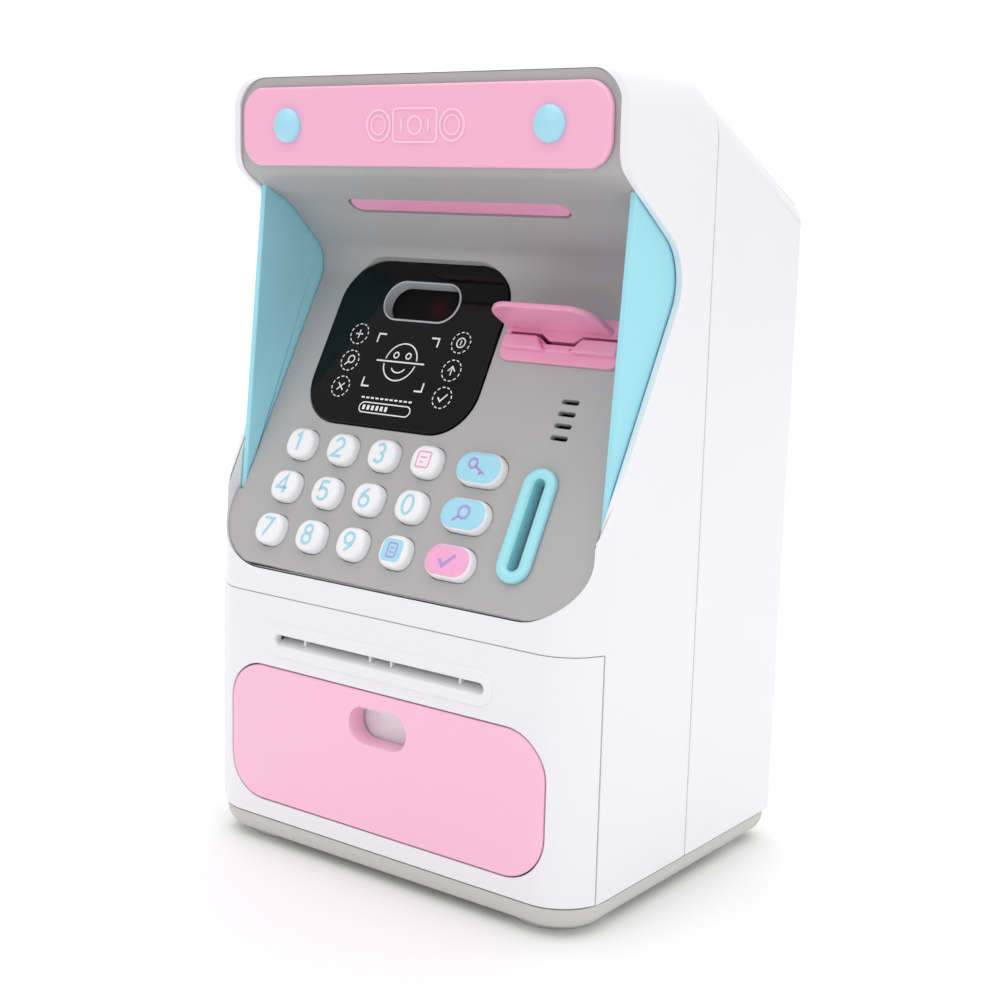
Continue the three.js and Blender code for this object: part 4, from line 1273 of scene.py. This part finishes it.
KEPT = {
    "shell_white": WHITE, "inner_plastic": INNER, "black_plastic": BLACK, "mat_silicone": MAT_GREY,
    "board_green": BOARD, "steel": STEEL, "roller_rubber": ROLLER_RUBBER, "gear_white": GEAR_WHITE,
}
battery_low, battery_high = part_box("battery_1")
KEPT["battery_blue"] = cell_sleeve("battery_sleeve", battery_low.z, battery_high.z)
for part in frame["record"]["subparts"]:
    kept = frame["nodes"][part["node"]]
    if kept.hide_render:
        continue
    kept.data.materials.clear()
    kept.data.materials.append(KEPT[part["material_slot"]])
    edge = kept.modifiers.new("small_edges", "BEVEL")
    edge.width = 0.15 * MM
    edge.segments = 2
    edge.limit_method = "ANGLE"
    edge.angle_limit = math.radians(35)
    weighted_normals(kept)


# ---- Floor, light and camera ----

CAMERA_AT = (0.27804, -0.37424, 0.18243)
CAMERA_TURN, CAMERA_RISE, CAMERA_ROLL = (math.radians(v) for v in (36.562, 10.144, 1.53))


def pale_floor():
    """Level floor that curves up into a backdrop far behind."""
    size, back, radius = 3.0, 1.6, 0.8
    profile = [(-size, 0.0), (back, 0.0)]
    for k in range(1, 17):
        turn = math.radians(90 * k / 16)
        profile.append((back + radius * math.sin(turn), radius * (1 - math.cos(turn))))
    profile.append((back + radius, 4.0))
    mesh = bpy.data.meshes.new("floor")
    points = [(x, y, z) for x in (-4.0, 4.0) for y, z in profile]
    count = len(profile)
    mesh.from_pydata(points, [], [(k, k + 1, count + k + 1, count + k) for k in range(count - 1)])
    mesh.shade_smooth()
    floor = new_object("floor", mesh)
    floor.rotation_euler = (0, 0, CAMERA_TURN)
    surface = Surface("floor_paper")
    patches = surface.spread(surface.noise(3), 0, 1)
    surface.feed("Base Color", surface.blend(patches, tint("FAFAFA"), tint("F7F7F7")))
    surface.set(Roughness=0.9)
    surface.bump(surface.noise(300), 0.02, 0.2)
    mesh.materials.append(surface.material)


pale_floor()


def area_light(name, at, target, size, power):
    data = bpy.data.lights.new(name, "AREA")
    data.shape = "RECTANGLE"
    data.size = size[0]
    data.size_y = size[1]
    data.energy = power
    lamp = new_object(name, data)
    lamp.location = at
    lamp.rotation_euler = (Vector(target) - Vector(at)).to_track_quat("-Z", "Y").to_euler()


area_light("key_light", (-0.3, -1.1, 0.8), (0, 0, 0.1), (0.9, 0.9), 1.3)
area_light("fill_light", (1.2, -0.3, 0.6), (0, 0, 0.1), (0.8, 0.8), 2.25)
area_light("top_light", (0.0, 0.0, 1.6), (0, 0, 0), (2.4, 2.4), 19.5)
area_light("backdrop_light", (-0.6, 0.9, 1.5), (-1.5, 2.0, 0.2), (1.6, 1.6), 13)

world = bpy.data.worlds.new("studio")
world.use_nodes = True
world.node_tree.nodes["Background"].inputs["Color"].default_value = (1, 1, 1, 1)
world.node_tree.nodes["Background"].inputs["Strength"].default_value = 0.62
bpy.context.scene.world = world
bpy.context.scene.view_settings.view_transform = "Standard"


def camera():
    """Camera fitted to the photograph: place in metres, and its turn round the object, rise and roll."""
    back = Vector((
        math.sin(CAMERA_TURN) * math.cos(CAMERA_RISE), -math.cos(CAMERA_TURN) * math.cos(CAMERA_RISE),
        math.sin(CAMERA_RISE)))
    right = (-back).cross(Vector((0, 0, 1))).normalized()
    up = right.cross(-back)
    across = right * math.cos(CAMERA_ROLL) + up * math.sin(CAMERA_ROLL)
    upright = -right * math.sin(CAMERA_ROLL) + up * math.cos(CAMERA_ROLL)
    data = bpy.data.cameras.new("camera")
    data.sensor_width = 36
    data.lens = 59.85
    data.clip_start = 0.01
    view = new_object("camera", data)
    turn = Matrix((across, upright, back)).transposed().to_4x4()
    view.matrix_world = Matrix.Translation(CAMERA_AT) @ turn
    bpy.context.scene.camera = view


camera()
